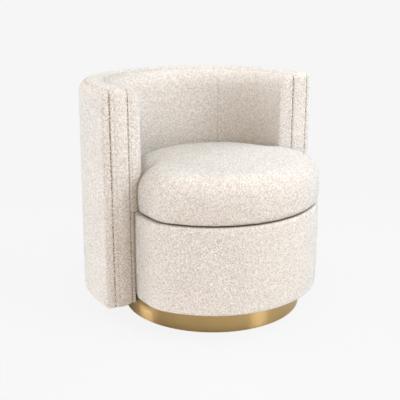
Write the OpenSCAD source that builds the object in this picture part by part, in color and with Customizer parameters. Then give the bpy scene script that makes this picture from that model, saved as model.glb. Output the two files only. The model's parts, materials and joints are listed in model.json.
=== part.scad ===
// Barrel swivel armchair: an upholstered curved back with arms around a round seat, on a
// metal-faced plinth with a ball-race swivel. Millimetres, +Z up, the sitter looks towards -Y.
// The origin is on the floor, on the swivel axis.

/* [Back and arms] */
// Height of the top seams above the floor
back_top_z = 700; // [640:5:760]
// Height of the underside of the back and arms above the floor
back_foot_z = 52; // [45:1:60]
// Radius of the outer seam around the back
outer_seam_r = 360; // [345:1:390]
// Width of the band between the two seams
band_w = 57; // [50:1:66]
// Distance from the swivel axis back to the centre of the curved back
back_centre_y = 50; // [30:1:70]
// Straight length of each arm in front of the curve
arm_len = 70; // [66:1:90]
// How far the outer panel swells past its seam at the top
outer_swell = 21; // [16:1:26]
// Extra swell of the outer panel at its foot
outer_flare = 8; // [0:1:12]
// Height over which the outer panel rolls in to its seam
outer_roll = 36; // [30:1:45]
// How far the inner panel swells past its seam
inner_swell = 48; // [40:1:52]
// Height over which the inner panel rolls in to its seam
inner_roll = 58; // [50:1:62]
// Depth over which the outer panel rolls in to its seam at the arm fronts
outer_front_roll = 16; // [12:1:30]
// Depth over which the inner panel rolls in to its seam at the arm fronts
inner_front_roll = 16; // [12:1:30]
// Swell of the inner panel below the seat, past its seam
inner_low_swell = 13; // [11:1:16]
// Radius of the lower edge of the inner panel's pad, above the seat deck
pad_edge_roll = 10; // [7:1:14]
// Radius of the rolled lower edge of the outer panel
foot_roll = 12; // [9:1:16]
// Radius of the rolled lower edge of the inner panel
inner_foot_roll = 8; // [6:1:10]
// Crown of the band between its seams
band_crown = 4; // [1:0.5:6]
// Radius over which the band turns from the top down the arm front
arm_corner_r = 16; // [12:1:24]
// Angle of each seam of the inner back from the middle
back_seam_angle = 45; // [35:1:55]

/* [Seat drum] */
// How far the drum's round front stands past its laps at the sides
drum_swell = 30; // [20:1:36]
// Height of the drum's underside above the floor
drum_foot_z = 75; // [70:1:85]
// Height of the covered drum
drum_h = 262; // [230:1:300]
// How far the drum laps in front of each arm, past the arm's inner face below the seat
lap_reach = 10; // [6:1:18]
// Corner radius of the laps in front of the arms
lap_corner_r = 25; // [19:1:30]
// Radius of the turn from the drum's round front into its straight sides
front_turn_r = 100; // [60:5:110]
// Gap between the laps and the arm fronts
lap_gap = 3; // [1:0.5:6]

/* [Loose cushion] */
// Height of the cushion where its crown levels off
cushion_h = 136; // [125:1:150]
// Extra height at the middle of the crown
cushion_crown = 12; // [4:1:16]
// Height of the cushion's side beside its laps, below its crown
cushion_side_h = 66; // [64:1:84]
// How much higher the cushion's side is at the middle of its front
front_side_rise = 26; // [0:1:30]
// How much lower the cushion's side is at its rear
rear_side_drop = 41; // [30:1:48]
// Width over which the crown rises from the cushion's front edge
front_rise_w = 50; // [40:1:80]
// Width over which the crown rises from the laps beside the arms
lap_rise_w = 64; // [50:1:90]
// Width over which the crown rises from the corners behind the laps
neck_rise_w = 45; // [35:1:60]
// Height of the cushion's side at the corners behind the laps
neck_side_h = 90; // [75:1:100]
// Width over which the crown rises from the cushion's rear edge
rear_rise_w = 200; // [160:5:240]
// How far the cushion stands past the drum at the front
cushion_overhang = 4; // [0:0.5:8]
// How far the cushion's laps stand back from the sides of the drum
cushion_lap_inset = 5; // [0:0.5:10]
// Gap between the cushion and the inner panel
cushion_gap = 4; // [2:0.5:8]
// Radius of the cushion's lower edge
cushion_foot_roll = 12; // [6:1:14]
// How far the cushion's sides are drawn in towards the underside
cushion_draw = 3; // [1:0.5:6]
// Width of the zip's tape
zip_w = 20; // [16:1:22]
// Angle that the zip takes around the back of the cushion
zip_angle = 80; // [40:5:100]

/* [Upholstery] */
// Thickness of the looped cover cloth with its backing
cover_t = 3; // [2:0.25:4]
// Foam over the top and front of the frame, under the band
band_foam_t = 11.5; // [9:0.5:15]
// Foam around the drum
drum_foam_t = 10; // [8:0.5:14]
// Foam pad on the seat deck
deck_pad_t = 12; // [10:0.5:16]
// Width of the cover turned in at the drum's upper edge
top_turn_in = 32; // [22:1:40]
// Width of the cover turned in at the drum's lower edge
foot_turn_in = 25; // [20:1:30]
// Thickness of the thin cloth that closes the undersides
dust_cloth_t = 0.8; // [0.5:0.1:1.2]
// Width of one seat web
web_w = 50; // [40:1:56]
// Thickness of one seat web
web_t = 1.5; // [1:0.1:2]
// Distance between the middles of two webs
web_pitch = 76; // [66:1:90]

/* [Timber frame] */
// Thickness of the frame boards
board_t = 18; // [15:1:22]
// Distance from the outer seam in to the frame inside the back
frame_setback = 8; // [6:0.5:12]
// Thickness of the fibreboard linings
lining_t = 3; // [2:0.25:4]
// Width of each upright
post_w = 44; // [36:1:50]
// Depth of each upright in the seat frame
seat_post_d = 42; // [34:1:50]
// Width of the seat frame ring that carries the webs
seat_ring_w = 60; // [50:1:70]
// Thickness of the board wrapped around the drum
drum_wall_t = 4; // [3:0.25:5]

/* [Plinth] */
// Gap between the metal ring and the inner faces of the arms
plinth_gap = 10; // [6:1:18]
// Thickness of the metal ring
ring_t = 2; // [1:0.25:3]
// Gap between the floor and the ring
ring_lift = 2; // [1:0.5:3]
// Gap between the ring and the underside of the drum
ring_gap = 3; // [2:0.5:6]
// Thickness of the plinth's lower board
foot_board_t = 15; // [12:1:18]
// Height of the glides under the lower board
glide_h = 4; // [3.5:0.5:6]
// Radius of each glide
glide_r = 15; // [11:1:18]
// Distance from the ring in to the middles of the glides
glide_inset = 30; // [22:1:45]
// Number of spacer blocks, with a glide under each gap
block_count = 6; // [4:1:8]
// Length of each spacer block
block_l = 60; // [50:1:70]
// Width of each spacer block
block_w = 40; // [34:1:46]
// Distance from the ring in to the middles of the spacer blocks
block_inset = 38; // [30:1:50]

/* [Swivel] */
// Side of the square swivel plates
plate_w = 178; // [170:1:190]
// Thickness of the swivel plates
plate_t = 3; // [2.5:0.25:3.5]
// Corner radius of the swivel plates
plate_corner_r = 12; // [6:1:16]
// Distance between neighbouring fixing holes of a plate
plate_hole_pitch = 146; // [142:1:148]
// Diameter of the balls
ball_d = 10; // [9:0.5:11]
// Radius of the circle of balls
ball_pitch_r = 64; // [58:1:68]
// Number of balls
ball_count = 20; // [12:1:24]
// Height of each ball race above its plate
race_h = 4; // [3.5:0.25:4.5]
// Gap between the two races
race_gap = 4; // [3.5:0.25:4.5]
// Thickness of the ball cage
cage_t = 2; // [1:0.25:2.5]
// Radius of the pivot pin
pin_r = 12; // [9:0.5:14]
// Radius of the pivot pin's head
pin_head_r = 20; // [17:0.5:24]
// Thickness of the pivot pin's head
pin_head_t = 5; // [3:0.5:7]

/* [Fasteners] */
// Radius of the bolts
bolt_r = 4; // [3:0.5:5]
// Radius of the bolt heads
bolt_head_r = 7; // [6.5:0.25:9]
// Thickness of the bolt heads
bolt_head_t = 3.5; // [3:0.25:4]
// Radius of a tee nut's flange
nut_flange_r = 10; // [9:0.5:11]
// Thickness of a tee nut's flange
nut_flange_t = 1.5; // [1:0.25:2]
// Length of a tee nut's barrel
nut_barrel_l = 9; // [6:0.5:11]
// Radius of the plinth screws
screw_r = 2; // [1.5:0.25:2.5]
// Length of the plinth screws
screw_l = 30; // [26:1:32]
// Height of the lower bolts through the back, above the drum's underside
low_bolt_rise = 60; // [45:1:80]
// Distance of the upper bolts through the back below the drum's top
high_bolt_drop = 62; // [56:1:90]

/* [Clearances] */
// Joint line between glued, screwed or stapled pieces
seat_fit = 0.1; // [0.05:0.05:0.2]
// Clearance around soft pieces
soft_fit = 0.3; // [0.2:0.05:0.4]
// Running clearance of the pivot, on the radius
run_fit = 0.06; // [0.02:0.01:0.1]
// Clearance of the balls in races and cage, on the radius
ball_fit = 0.05; // [0.02:0.01:0.1]
// Clearance of a bolt or screw in its hole, on the radius
hole_fit = 0.3; // [0.2:0.05:0.5]

/* [Hidden] */
$fn = 96;

oak_colour = [0.78, 0.64, 0.46];
steel_colour = [0.62, 0.63, 0.65];
brass_colour = [0.72, 0.60, 0.38];
cloth_colour = [0.91, 0.88, 0.84];
foam_colour = [0.93, 0.86, 0.62];
board_colour = [0.6, 0.47, 0.33];
web_colour = [0.35, 0.33, 0.3];
deck_colour = [0.82, 0.79, 0.74];
dust_colour = [0.15, 0.15, 0.16];
glide_colour = [0.2, 0.2, 0.21];
cage_colour = [0.85, 0.84, 0.78];
zip_colour = [0.8, 0.77, 0.72];
far = 2000;
cut = 1; // how far a cut runs past the faces that it opens
arc_steps = 6;
band_steps = 8;

inner_seam_r = outer_seam_r - band_w;
inner_face_r = inner_seam_r - inner_swell;
inner_low_r = inner_seam_r - inner_low_swell;
frame_in_r = inner_seam_r - lining_t;
frame_out_r = outer_seam_r - frame_setback;
frame_t = frame_out_r - frame_in_r;
lining_in_r = frame_in_r - seat_fit - lining_t;
lining_out_r = frame_out_r + seat_fit + lining_t;
foam_skin = cover_t + soft_fit;
core_front = -arm_len + foam_skin + band_foam_t;
core_top_z = back_top_z - foam_skin - band_foam_t;
core_foot_z = back_foot_z + foam_skin;
arm_front_y = back_centre_y - arm_len;

drum_top_z = drum_foot_z + drum_h;
lap_x = inner_low_r + lap_reach;
drum_r = lap_x + drum_swell;
drum_rear_r = inner_low_r - soft_fit;
pad_foot_z = drum_top_z + soft_fit;
lap_back_y = arm_front_y - band_crown - lap_gap;
seat_board_z = drum_foot_z + cover_t + seat_fit;
seat_core = foam_skin + drum_foam_t + seat_fit + drum_wall_t + seat_fit;
deck_pad_z = drum_top_z - cover_t - seat_fit - deck_pad_t;
web_top_z = deck_pad_z - seat_fit;
web_low_z = web_top_z - 2 * web_t - seat_fit;
seat_ring_z = web_low_z - seat_fit - board_t;
middle_rail_z = seat_ring_z;

swivel_h = 2 * (plate_t + race_h) + race_gap;
lower_plate_z = seat_board_z - seat_fit - swivel_h;
upper_plate_z = seat_board_z - seat_fit - plate_t;
ball_z = lower_plate_z + plate_t + race_h + race_gap / 2;
ball_r = ball_d / 2;
race_wall = 3;
race_half_w = ball_r + race_wall;
cage_lip = 1;
deck_board_z = lower_plate_z - seat_fit - board_t;
block_z = glide_h + foot_board_t + seat_fit;
block_h = deck_board_z - seat_fit - block_z;
ring_top_z = drum_foot_z - ring_gap;
plinth_r = inner_low_r - plinth_gap;
board_r = plinth_r - ring_t - seat_fit;
glide_pitch_r = plinth_r - glide_inset;
block_pitch_r = plinth_r - block_inset;
stem_r = 3;
stem_l = 11;
clip_t = 1.5;
clip_w = 6;
clip_z = upper_plate_z + plate_t + seat_fit;
pin_groove = 1;
pin_end = 4;
pin_top_z = clip_z + clip_t + pin_end;
pin_well_gap = 6;
pin_well_r = pin_r + clip_w + pin_well_gap;

frame_bolt_angles = [30, 90, 150];
post_angles = [30, 60, 90, 120, 150];
front_post_angles = [-50, -90, -130];
front_post_gap = 1;
frame_bolt_heights = [drum_foot_z + low_bolt_rise, drum_top_z - high_bolt_drop];
bolt_hole_r = bolt_r + hole_fit;
nut_wall = 1.6;
nut_barrel_r = bolt_r + nut_wall;
nut_bore_r = bolt_r + seat_fit;
nut_hole_r = nut_barrel_r + hole_fit;
nut_sink = 1;
bolt_end = 2;
seat_post_out_r = drum_rear_r - seat_core;
seat_post_in_r = seat_post_out_r - seat_post_d;
seam_line = 0.2;
seam_turn_in = 10;
panel_gap_angle = 0.1;

lengthwise_webs = 5;
crosswise_webs = 6;
web_centre_y = -20;
web_inset = 4;
dust_hole_gap = 8;
dust_hole_r = plate_w / sqrt(2) + dust_hole_gap;

cushion_z = drum_top_z + soft_fit;
cushion_r = drum_r + cushion_overhang;
cushion_rear_r = inner_face_r - cushion_gap;
cushion_hub = [0, -60];
cushion_lap_x = lap_x - cushion_lap_inset;
cushion_rear_y = back_centre_y + cushion_rear_r;
waist_share = 0.6;
underside_inset = 60;
neck_corner = 6;
crown_rings = 9;
front_points = 5;
turn_points = 3;
rear_points = 8;
zip_gap = 0.3;
zip_z = cushion_z + cushion_foot_roll + zip_w / 2;
zip_tape_t = 0.8;
zip_teeth = [1, 5];
zip_end_angle = 2;
zip_slider = [1.8, 8, 7];

// A quarter, or part, of an ellipse as points
function oval(cx, cy, ax, ay, from, to, steps = arc_steps) =
    [for (i = [0:steps]) let (a = from + (to - from) * i / steps) [cx + ax * cos(a), cy + ay * sin(a)]];

// Rounded lower edge of a face at radius r whose foot is at height z, skin depth t inside it
function round_in(r, z, roll, t) = oval(r + roll, z + roll, roll - t, roll - t, 270, 180, 3);

// Cross-section of the outer panel, skin depth t inside its surface, from radius r0 outwards
function outer_section(t, r0) =
    let (top_r = outer_seam_r + outer_swell, foot_r = top_r + outer_flare)
    let (stop = acos(max(0, min(1, (r0 - outer_seam_r) / (outer_swell - t)))))
    concat(
        [[r0, back_foot_z + t]],
        oval(foot_r - foot_roll, back_foot_z + foot_roll, foot_roll - t, foot_roll - t, -90, 0, 4),
        oval(outer_seam_r, back_top_z - outer_roll, outer_swell - t, outer_roll - t, 0, stop),
        r0 < outer_seam_r ? [[r0, back_top_z - t]] : []
    );

// Cross-section of the inner panel, skin depth t inside its surface, from radius r0 inwards
function inner_section(t, r0) =
    let (stop = acos(max(-1, min(0, (r0 - inner_seam_r) / (inner_swell - t)))))
    concat(
        [[r0, back_foot_z + t]],
        round_in(inner_low_r, back_foot_z, inner_foot_roll, t),
        [[inner_low_r + t, pad_foot_z + t]],
        round_in(inner_face_r, pad_foot_z, pad_edge_roll, t),
        oval(inner_seam_r, back_top_z - inner_roll, inner_swell - t, inner_roll - t, 180, stop),
        r0 > inner_seam_r ? [[r0, back_top_z - t]] : []
    );

// Height of the band's crown at radius r
function crown_at(r) =
    band_crown * sin(180 * max(0, min(1, (r - inner_seam_r) / band_w)));

// Cross-section of the band, skin depth t inside its surface, between two radii
function band_section(t, r0, r1) =
    concat(
        [[r0, back_foot_z + t], [r1, back_foot_z + t]],
        [for (i = [0:band_steps]) let (r = r1 + (r0 - r1) * i / band_steps) [r, back_top_z - t + crown_at(r)]]
    );

// Plan of a right arm's outer panel with its rolled front
function outer_arm_plan(t, r0) =
    let (foot_swell = outer_swell + outer_flare)
    let (stop = acos(max(0, min(1, (r0 - outer_seam_r) / (foot_swell - t)))))
    concat(
        [[r0, 0], [outer_seam_r + foot_swell - t, 0]],
        oval(outer_seam_r, -arm_len + outer_front_roll, foot_swell - t, outer_front_roll - t, 0, -stop),
        r0 < outer_seam_r ? [[r0, -arm_len + t]] : []
    );

// Plan of a right arm's inner panel with its rolled front
function inner_arm_plan(t, r0) =
    let (stop = acos(max(-1, min(0, (r0 - inner_seam_r) / (inner_swell - t)))))
    concat(
        [[r0, 0], [inner_face_r + t, 0]],
        oval(inner_seam_r, -arm_len + inner_front_roll, inner_swell - t, inner_front_roll - t, 180,
             360 - stop),
        r0 > inner_seam_r ? [[r0, -arm_len + t]] : []
    );

// Plan of a right arm's band
function band_arm_plan(t, r0, r1) =
    concat(
        [[r1, 0], [r0, 0]],
        [for (i = [0:band_steps]) let (r = r0 + (r1 - r0) * i / band_steps) [r, -arm_len + t - crown_at(r)]]
    );

// Side view of an arm: its front corner rolls from the top down the front
function arm_side(t, crown) =
    let (front = -arm_len - crown + t, top = back_top_z + crown - t, r = arm_corner_r - t)
    concat(
        [[0, back_foot_z], [front, back_foot_z]],
        oval(front + r, top - r, r, r, 180, 90),
        [[0, top]]
    );

// Solid swept around the back: a half turn of the section and two straight arms cut to plan and side
module sweep_back(section, plan, side) {
    translate([0, back_centre_y, 0]) {
        rotate_extrude(angle = 180) polygon(section);
        for (flip = [0, 1])
            mirror([flip, 0, 0]) intersection() {
                rotate([90, 0, 0]) linear_extrude(arm_len + band_crown) polygon(section);
                linear_extrude(back_top_z + 2 * band_crown) polygon(plan);
                rotate([90, 0, 90]) linear_extrude(outer_seam_r + 2 * outer_swell) polygon(side);
            }
    }
}

module outer_body(t, r0) {
    sweep_back(outer_section(t, r0), outer_arm_plan(t, r0), arm_side(t, 0));
}

module inner_body(t, r0) {
    sweep_back(inner_section(t, r0), inner_arm_plan(t, r0), arm_side(t, 0));
}

module band_body(t, r0, r1) {
    sweep_back(band_section(t, r0, r1), band_arm_plan(t, r0, r1), arm_side(t, band_crown));
}

// Plan shape of radius r around the back, with straight arms that run on to front
module barrel_plan(r, front) {
    intersection() {
        circle(r);
        translate([-r, 0]) square(2 * r);
    }
    translate([-r, front]) square([2 * r, -front]);
}

// Solid between two radii around the back, open at the front
module barrel(r0, r1, front, z, h) {
    translate([0, back_centre_y, z]) linear_extrude(h) difference() {
        barrel_plan(r1, front);
        barrel_plan(r0, front - cut);
    }
}

// Space of the timber frame and its linings, grown by g
module frame_core(g) {
    barrel(lining_in_r - g, lining_out_r + g, core_front - g, core_foot_z - g,
           core_top_z - core_foot_z + 2 * g);
}

// Radial holes of the bolts that join the back to the seat
module frame_bolt_holes(r) {
    for (a = frame_bolt_angles, z = frame_bolt_heights)
        translate([0, back_centre_y, z]) rotate([0, 90, a])
            cylinder(r = r, h = frame_out_r + lining_t + 2 * cut);
}

// Wedge that holds the middle panel of the inner back
module middle_wedge(half) {
    translate([0, back_centre_y, 0]) linear_extrude(far)
        polygon([[0, 0], far * [sin(half), cos(half)], far * [-sin(half), cos(half)]]);
}

// Middle of the turn that joins a round front of radius front_r to a side at side_x
function turn_hub(front_r, side_x) =
    let (x = side_x - front_turn_r) [x, -sqrt(pow(front_r - front_turn_r, 2) - x * x)];

// Plan of the seat drum, inset by t: round in front, lapping the arms, round again behind
module drum_plan(t) {
    corner = max(lap_corner_r, t);
    hub = turn_hub(drum_r, lap_x);
    reach = far * hub / norm(hub);
    intersection() {
        circle(drum_r - t);
        polygon([[0, 0], reach, [-reach.x, reach.y]]);
    }
    for (side = [-1, 1])
        translate([side * hub.x, hub.y]) circle(front_turn_r - t);
    translate([-(lap_x - t), hub.y]) square([2 * (lap_x - t), lap_back_y - corner - hub.y]);
    translate([-(lap_x - corner), hub.y]) square([2 * (lap_x - corner), lap_back_y - t - hub.y]);
    if (t < lap_corner_r)
        for (side = [-1, 1])
            translate([side * (lap_x - lap_corner_r), lap_back_y - lap_corner_r])
                circle(lap_corner_r - t);
    translate([0, back_centre_y]) barrel_plan(drum_rear_r - t, lap_back_y - back_centre_y - lap_corner_r - t);
}

module drum_slab(t, z, h) {
    translate([0, 0, z]) linear_extrude(h) drum_plan(t);
}

module plate_blank(z) {
    translate([0, 0, z]) linear_extrude(plate_t) {
        square([plate_w, plate_w - 2 * plate_corner_r], center = true);
        square([plate_w - 2 * plate_corner_r, plate_w], center = true);
        for (x = [-1, 1], y = [-1, 1])
            translate([x, y] * (plate_w / 2 - plate_corner_r)) circle(plate_corner_r);
    }
}

module race_ring(z) {
    rotate_extrude() translate([ball_pitch_r - race_half_w, z]) square([2 * race_half_w, race_h]);
}

module ball_groove() {
    rotate_extrude() translate([ball_pitch_r, ball_z]) circle(ball_r + ball_fit, $fn = 48);
}

// Children at the four fixing holes of a swivel plate
module at_plate_holes() {
    for (x = [-1, 1], y = [-1, 1])
        translate([x, y, 0] * plate_hole_pitch / 2) children();
}

// Tee nut with its flange down at z = 0 and its barrel up
module tee_nut() {
    difference() {
        union() {
            cylinder(r = nut_flange_r, h = nut_flange_t);
            cylinder(r = nut_barrel_r, h = nut_flange_t + nut_barrel_l);
        }
        translate([0, 0, -cut]) cylinder(r = nut_bore_r, h = nut_flange_t + nut_barrel_l + 2 * cut);
    }
}

// Bolt with the underside of its head at z = 0 and its shank up
module bolt(shank) {
    cylinder(r = bolt_r, h = shank);
    translate([0, 0, -bolt_head_t]) cylinder(r = bolt_head_r, h = bolt_head_t);
}

// Children on the circle of spacer blocks, turned to face out
module at_blocks() {
    for (i = [0:block_count - 1])
        rotate(90 + 360 * i / block_count) translate([block_pitch_r, 0, 0]) children();
}

// Children on the circle of glides, between the blocks
module at_glides() {
    for (i = [0:block_count - 1])
        rotate(90 + 360 * (i + 0.5) / block_count) translate([glide_pitch_r, 0, 0]) children();
}

// Countersunk screw, its flat head down at z = 0 and its shank up
module screw() {
    rotate_extrude() polygon([
        [0, 0], [2 * screw_r, 0], [screw_r, screw_r], [screw_r, screw_l - screw_r], [0, screw_l]
    ]);
}

module screw_hole() {
    translate([0, 0, -hole_fit]) rotate_extrude() polygon([
        [0, 0], [2 * screw_r + 2 * hole_fit, 0], [screw_r + hole_fit, screw_r + hole_fit],
        [screw_r + hole_fit, screw_l + cut], [0, screw_l + cut]
    ]);
}

// Children at the plinth's screws: from below on one side of a block, from above on the other
module at_plinth_screws() {
    at_blocks() {
        translate([0, -block_l / 4, glide_h]) children();
        translate([0, block_l / 4, deck_board_z + board_t]) mirror([0, 0, 1]) children();
    }
}

module plinth_ring() {
    color(brass_colour) translate([0, 0, ring_lift]) difference() {
        cylinder(r = plinth_r, h = ring_top_z - ring_lift);
        translate([0, 0, -cut]) cylinder(r = plinth_r - ring_t, h = ring_top_z + 2 * cut);
    }
}

module plinth_foot_board() {
    color(oak_colour) difference() {
        translate([0, 0, glide_h]) cylinder(r = board_r, h = foot_board_t);
        at_glides() cylinder(r = stem_r + seat_fit, h = glide_h + stem_l + cut);
        cylinder(r = stem_r + seat_fit, h = glide_h + stem_l + cut);
        at_plinth_screws() screw_hole();
    }
}

module plinth_deck_board() {
    color(oak_colour) difference() {
        translate([0, 0, deck_board_z]) cylinder(r = board_r, h = board_t);
        translate([0, 0, deck_board_z - cut]) cylinder(r = pin_head_r + hole_fit, h = board_t + 2 * cut);
        at_plate_holes() translate([0, 0, deck_board_z - cut])
            cylinder(r = nut_hole_r, h = board_t + 2 * cut);
        at_plinth_screws() screw_hole();
    }
}

module plinth_blocks() {
    color(oak_colour) difference() {
        union() {
            at_blocks() translate([-block_w / 2, -block_l / 2, block_z]) cube([block_w, block_l, block_h]);
            translate([-block_l / 2, -block_l / 2, block_z]) cube([block_l, block_l, block_h]);
        }
        at_plinth_screws() screw_hole();
    }
}

module plinth_screws() {
    color(steel_colour) at_plinth_screws() screw();
}

module glide() {
    cylinder(r = glide_r, h = glide_h - seat_fit);
    cylinder(r = stem_r, h = glide_h + stem_l);
}

module floor_glides() {
    color(glide_colour) {
        glide();
        at_glides() glide();
    }
}

module swivel_lower_plate() {
    color(steel_colour) difference() {
        union() {
            plate_blank(lower_plate_z);
            race_ring(lower_plate_z + plate_t);
        }
        ball_groove();
        at_plate_holes() translate([0, 0, lower_plate_z - cut])
            cylinder(r = bolt_hole_r, h = plate_t + 2 * cut);
        translate([0, 0, lower_plate_z - cut]) cylinder(r = pin_r + ball_fit, h = plate_t + 2 * cut);
    }
}

module swivel_upper_plate() {
    color(steel_colour) difference() {
        union() {
            plate_blank(upper_plate_z);
            race_ring(upper_plate_z - race_h);
        }
        ball_groove();
        at_plate_holes() translate([0, 0, upper_plate_z - cut])
            cylinder(r = bolt_hole_r, h = plate_t + 2 * cut);
        translate([0, 0, upper_plate_z - cut]) cylinder(r = pin_r + run_fit, h = plate_t + 2 * cut);
    }
}

module swivel_lower_bolts() {
    color(steel_colour) at_plate_holes() translate([0, 0, lower_plate_z + plate_t]) mirror([0, 0, 1])
        bolt(plate_t + board_t + nut_flange_t + bolt_end);
}

module swivel_lower_nuts() {
    color(steel_colour) at_plate_holes() translate([0, 0, deck_board_z - seat_fit - nut_flange_t]) tee_nut();
}

module swivel_upper_bolts() {
    color(steel_colour) at_plate_holes() translate([0, 0, upper_plate_z])
        bolt(plate_t + board_t + nut_flange_t + bolt_end);
}

module swivel_upper_nuts() {
    color(steel_colour) at_plate_holes()
        translate([0, 0, seat_board_z + board_t + seat_fit + nut_flange_t]) mirror([0, 0, 1]) tee_nut();
}

module pivot_pin() {
    color(steel_colour) difference() {
        union() {
            translate([0, 0, lower_plate_z - seat_fit - pin_head_t]) cylinder(r = pin_head_r, h = pin_head_t);
            translate([0, 0, lower_plate_z - pin_head_t])
                cylinder(r = pin_r, h = pin_top_z - lower_plate_z + pin_head_t);
        }
        translate([0, 0, clip_z]) difference() {
            cylinder(r = pin_r + cut, h = clip_t + seat_fit);
            translate([0, 0, -cut]) cylinder(r = pin_r - pin_groove, h = clip_t + 3 * cut);
        }
    }
}

// Open spring clip that keeps the upper plate on the pin
module pivot_clip() {
    color(steel_colour) translate([0, 0, clip_z + seat_fit / 2]) rotate_extrude(angle = 300)
        translate([pin_r - pin_groove + ball_fit, 0]) square([clip_w, clip_t]);
}

module bearing_balls() {
    color(steel_colour) for (i = [0:ball_count - 1])
        rotate(360 * i / ball_count) translate([ball_pitch_r, 0, ball_z]) sphere(r = ball_r, $fn = 48);
}

module bearing_cage() {
    color(cage_colour) difference() {
        translate([0, 0, ball_z - cage_t / 2]) difference() {
            cylinder(r = ball_pitch_r + race_half_w + cage_lip, h = cage_t);
            translate([0, 0, -cut]) cylinder(r = ball_pitch_r - race_half_w - cage_lip, h = cage_t + 2 * cut);
        }
        for (i = [0:ball_count - 1])
            rotate(360 * i / ball_count) translate([ball_pitch_r, 0, ball_z - cage_t])
                cylinder(r = ball_r + ball_fit, h = 2 * cage_t);
    }
}

module seat_board() {
    color(oak_colour) difference() {
        drum_slab(seat_core, seat_board_z, board_t);
        translate([0, 0, seat_board_z - cut]) cylinder(r = pin_well_r, h = board_t + 2 * cut);
        at_plate_holes() translate([0, 0, seat_board_z - cut])
            cylinder(r = nut_hole_r, h = board_t + 2 * cut);
    }
}

// Uprights of the seat frame: under the ring in front, and behind where the bolts pass
module seat_posts() {
    post_z = seat_board_z + board_t + seat_fit;
    post_h = seat_ring_z - seat_fit - post_z;
    front_r = drum_r - seat_core - front_post_gap;
    color(oak_colour) difference() {
        union() {
            for (a = frame_bolt_angles)
                translate([0, back_centre_y, post_z]) rotate(a) intersection() {
                    translate([seat_post_in_r, -post_w / 2, 0]) cube([seat_post_d + cut, post_w, post_h]);
                    cylinder(r = seat_post_out_r - seat_fit, h = post_h);
                }
            for (a = front_post_angles)
                translate([0, 0, post_z]) rotate(a) intersection() {
                    translate([front_r - seat_post_d, -post_w / 2, 0])
                        cube([seat_post_d + cut, post_w, post_h]);
                    cylinder(r = front_r, h = post_h);
                }
        }
        frame_bolt_holes(bolt_hole_r);
    }
}

module seat_ring() {
    color(oak_colour) difference() {
        drum_slab(seat_core, seat_ring_z, board_t);
        drum_slab(seat_core + seat_ring_w, seat_ring_z - cut, board_t + 2 * cut);
    }
}

// A set of parallel webs cut to the seat ring
module webs(count) {
    for (i = [0:count - 1])
        translate([(i - (count - 1) / 2) * web_pitch - web_w / 2, -far / 2, 0]) cube([web_w, far, web_t]);
}

module webs_lengthwise() {
    color(web_colour) translate([0, 0, web_low_z]) intersection() {
        webs(lengthwise_webs);
        linear_extrude(web_t) drum_plan(seat_core + web_inset);
    }
}

module webs_crosswise() {
    color(web_colour) translate([0, 0, web_low_z + web_t + seat_fit]) intersection() {
        translate([0, web_centre_y, 0]) rotate(90) webs(crosswise_webs);
        linear_extrude(web_t) drum_plan(seat_core + web_inset);
    }
}

module deck_pad() {
    color(foam_colour) drum_slab(foam_skin + drum_foam_t + seat_fit, deck_pad_z, deck_pad_t);
}

module deck_cloth() {
    color(deck_colour) drum_slab(top_turn_in + soft_fit, drum_top_z - cover_t, cover_t);
}

module drum_wall() {
    color(board_colour) difference() {
        drum_slab(foam_skin + drum_foam_t + seat_fit, seat_board_z, web_top_z - seat_board_z);
        drum_slab(seat_core - seat_fit, seat_board_z - cut, drum_h);
        frame_bolt_holes(bolt_hole_r);
    }
}

module drum_foam() {
    color(foam_colour) difference() {
        drum_slab(foam_skin, seat_board_z, drum_top_z - cover_t - seat_fit - seat_board_z);
        drum_slab(foam_skin + drum_foam_t, seat_board_z - cut, drum_h);
        frame_bolt_holes(bolt_hole_r);
    }
}

module drum_cover() {
    color(cloth_colour) difference() {
        drum_slab(0, drum_foot_z, drum_h);
        drum_slab(cover_t, drum_foot_z + cover_t, drum_h - 2 * cover_t);
        drum_slab(top_turn_in, drum_top_z - 2 * cover_t, 3 * cover_t);
        drum_slab(foot_turn_in, drum_foot_z - cover_t, 3 * cover_t);
        frame_bolt_holes(bolt_hole_r);
    }
}

module drum_dust_cloth() {
    color(dust_colour) difference() {
        drum_slab(foot_turn_in + soft_fit, seat_board_z - seat_fit - dust_cloth_t, dust_cloth_t);
        translate([0, 0, drum_foot_z]) cylinder(r = dust_hole_r, h = board_t);
    }
}

module back_foot_rail() {
    color(oak_colour) barrel(frame_in_r, frame_out_r, core_front, core_foot_z, board_t);
}

module back_middle_rail() {
    color(oak_colour) barrel(frame_in_r, frame_out_r, core_front, middle_rail_z, board_t);
}

module back_top_rail() {
    color(oak_colour) barrel(frame_in_r, frame_out_r, core_front, core_top_z - board_t, board_t);
}

// Uprights around the back and at the arm fronts, standing between two rails
module back_post_row(z, top) {
    h = top - z;
    translate([0, back_centre_y, z]) {
        for (a = post_angles)
            rotate(a) intersection() {
                translate([frame_in_r, -post_w / 2, 0]) cube([frame_t, post_w, h]);
                cylinder(r = frame_out_r, h = h);
            }
        for (flip = [0, 1])
            mirror([flip, 0, 0]) translate([frame_in_r, core_front, 0]) cube([frame_t, post_w, h]);
    }
}

module back_posts() {
    color(oak_colour) difference() {
        union() {
            back_post_row(core_foot_z + board_t + seat_fit, middle_rail_z - seat_fit);
            back_post_row(middle_rail_z + board_t + seat_fit, core_top_z - board_t - seat_fit);
        }
        frame_bolt_holes(nut_hole_r);
        for (a = frame_bolt_angles, z = frame_bolt_heights)
            translate([0, back_centre_y, z]) rotate([0, 90, a])
                translate([0, 0, frame_out_r - nut_flange_t - seat_fit - nut_sink])
                    cylinder(r = nut_flange_r + hole_fit, h = board_t);
    }
}

module inner_lining() {
    color(board_colour) difference() {
        barrel(lining_in_r, lining_in_r + lining_t, core_front, core_foot_z, core_top_z - core_foot_z);
        frame_bolt_holes(bolt_hole_r);
    }
}

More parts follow.
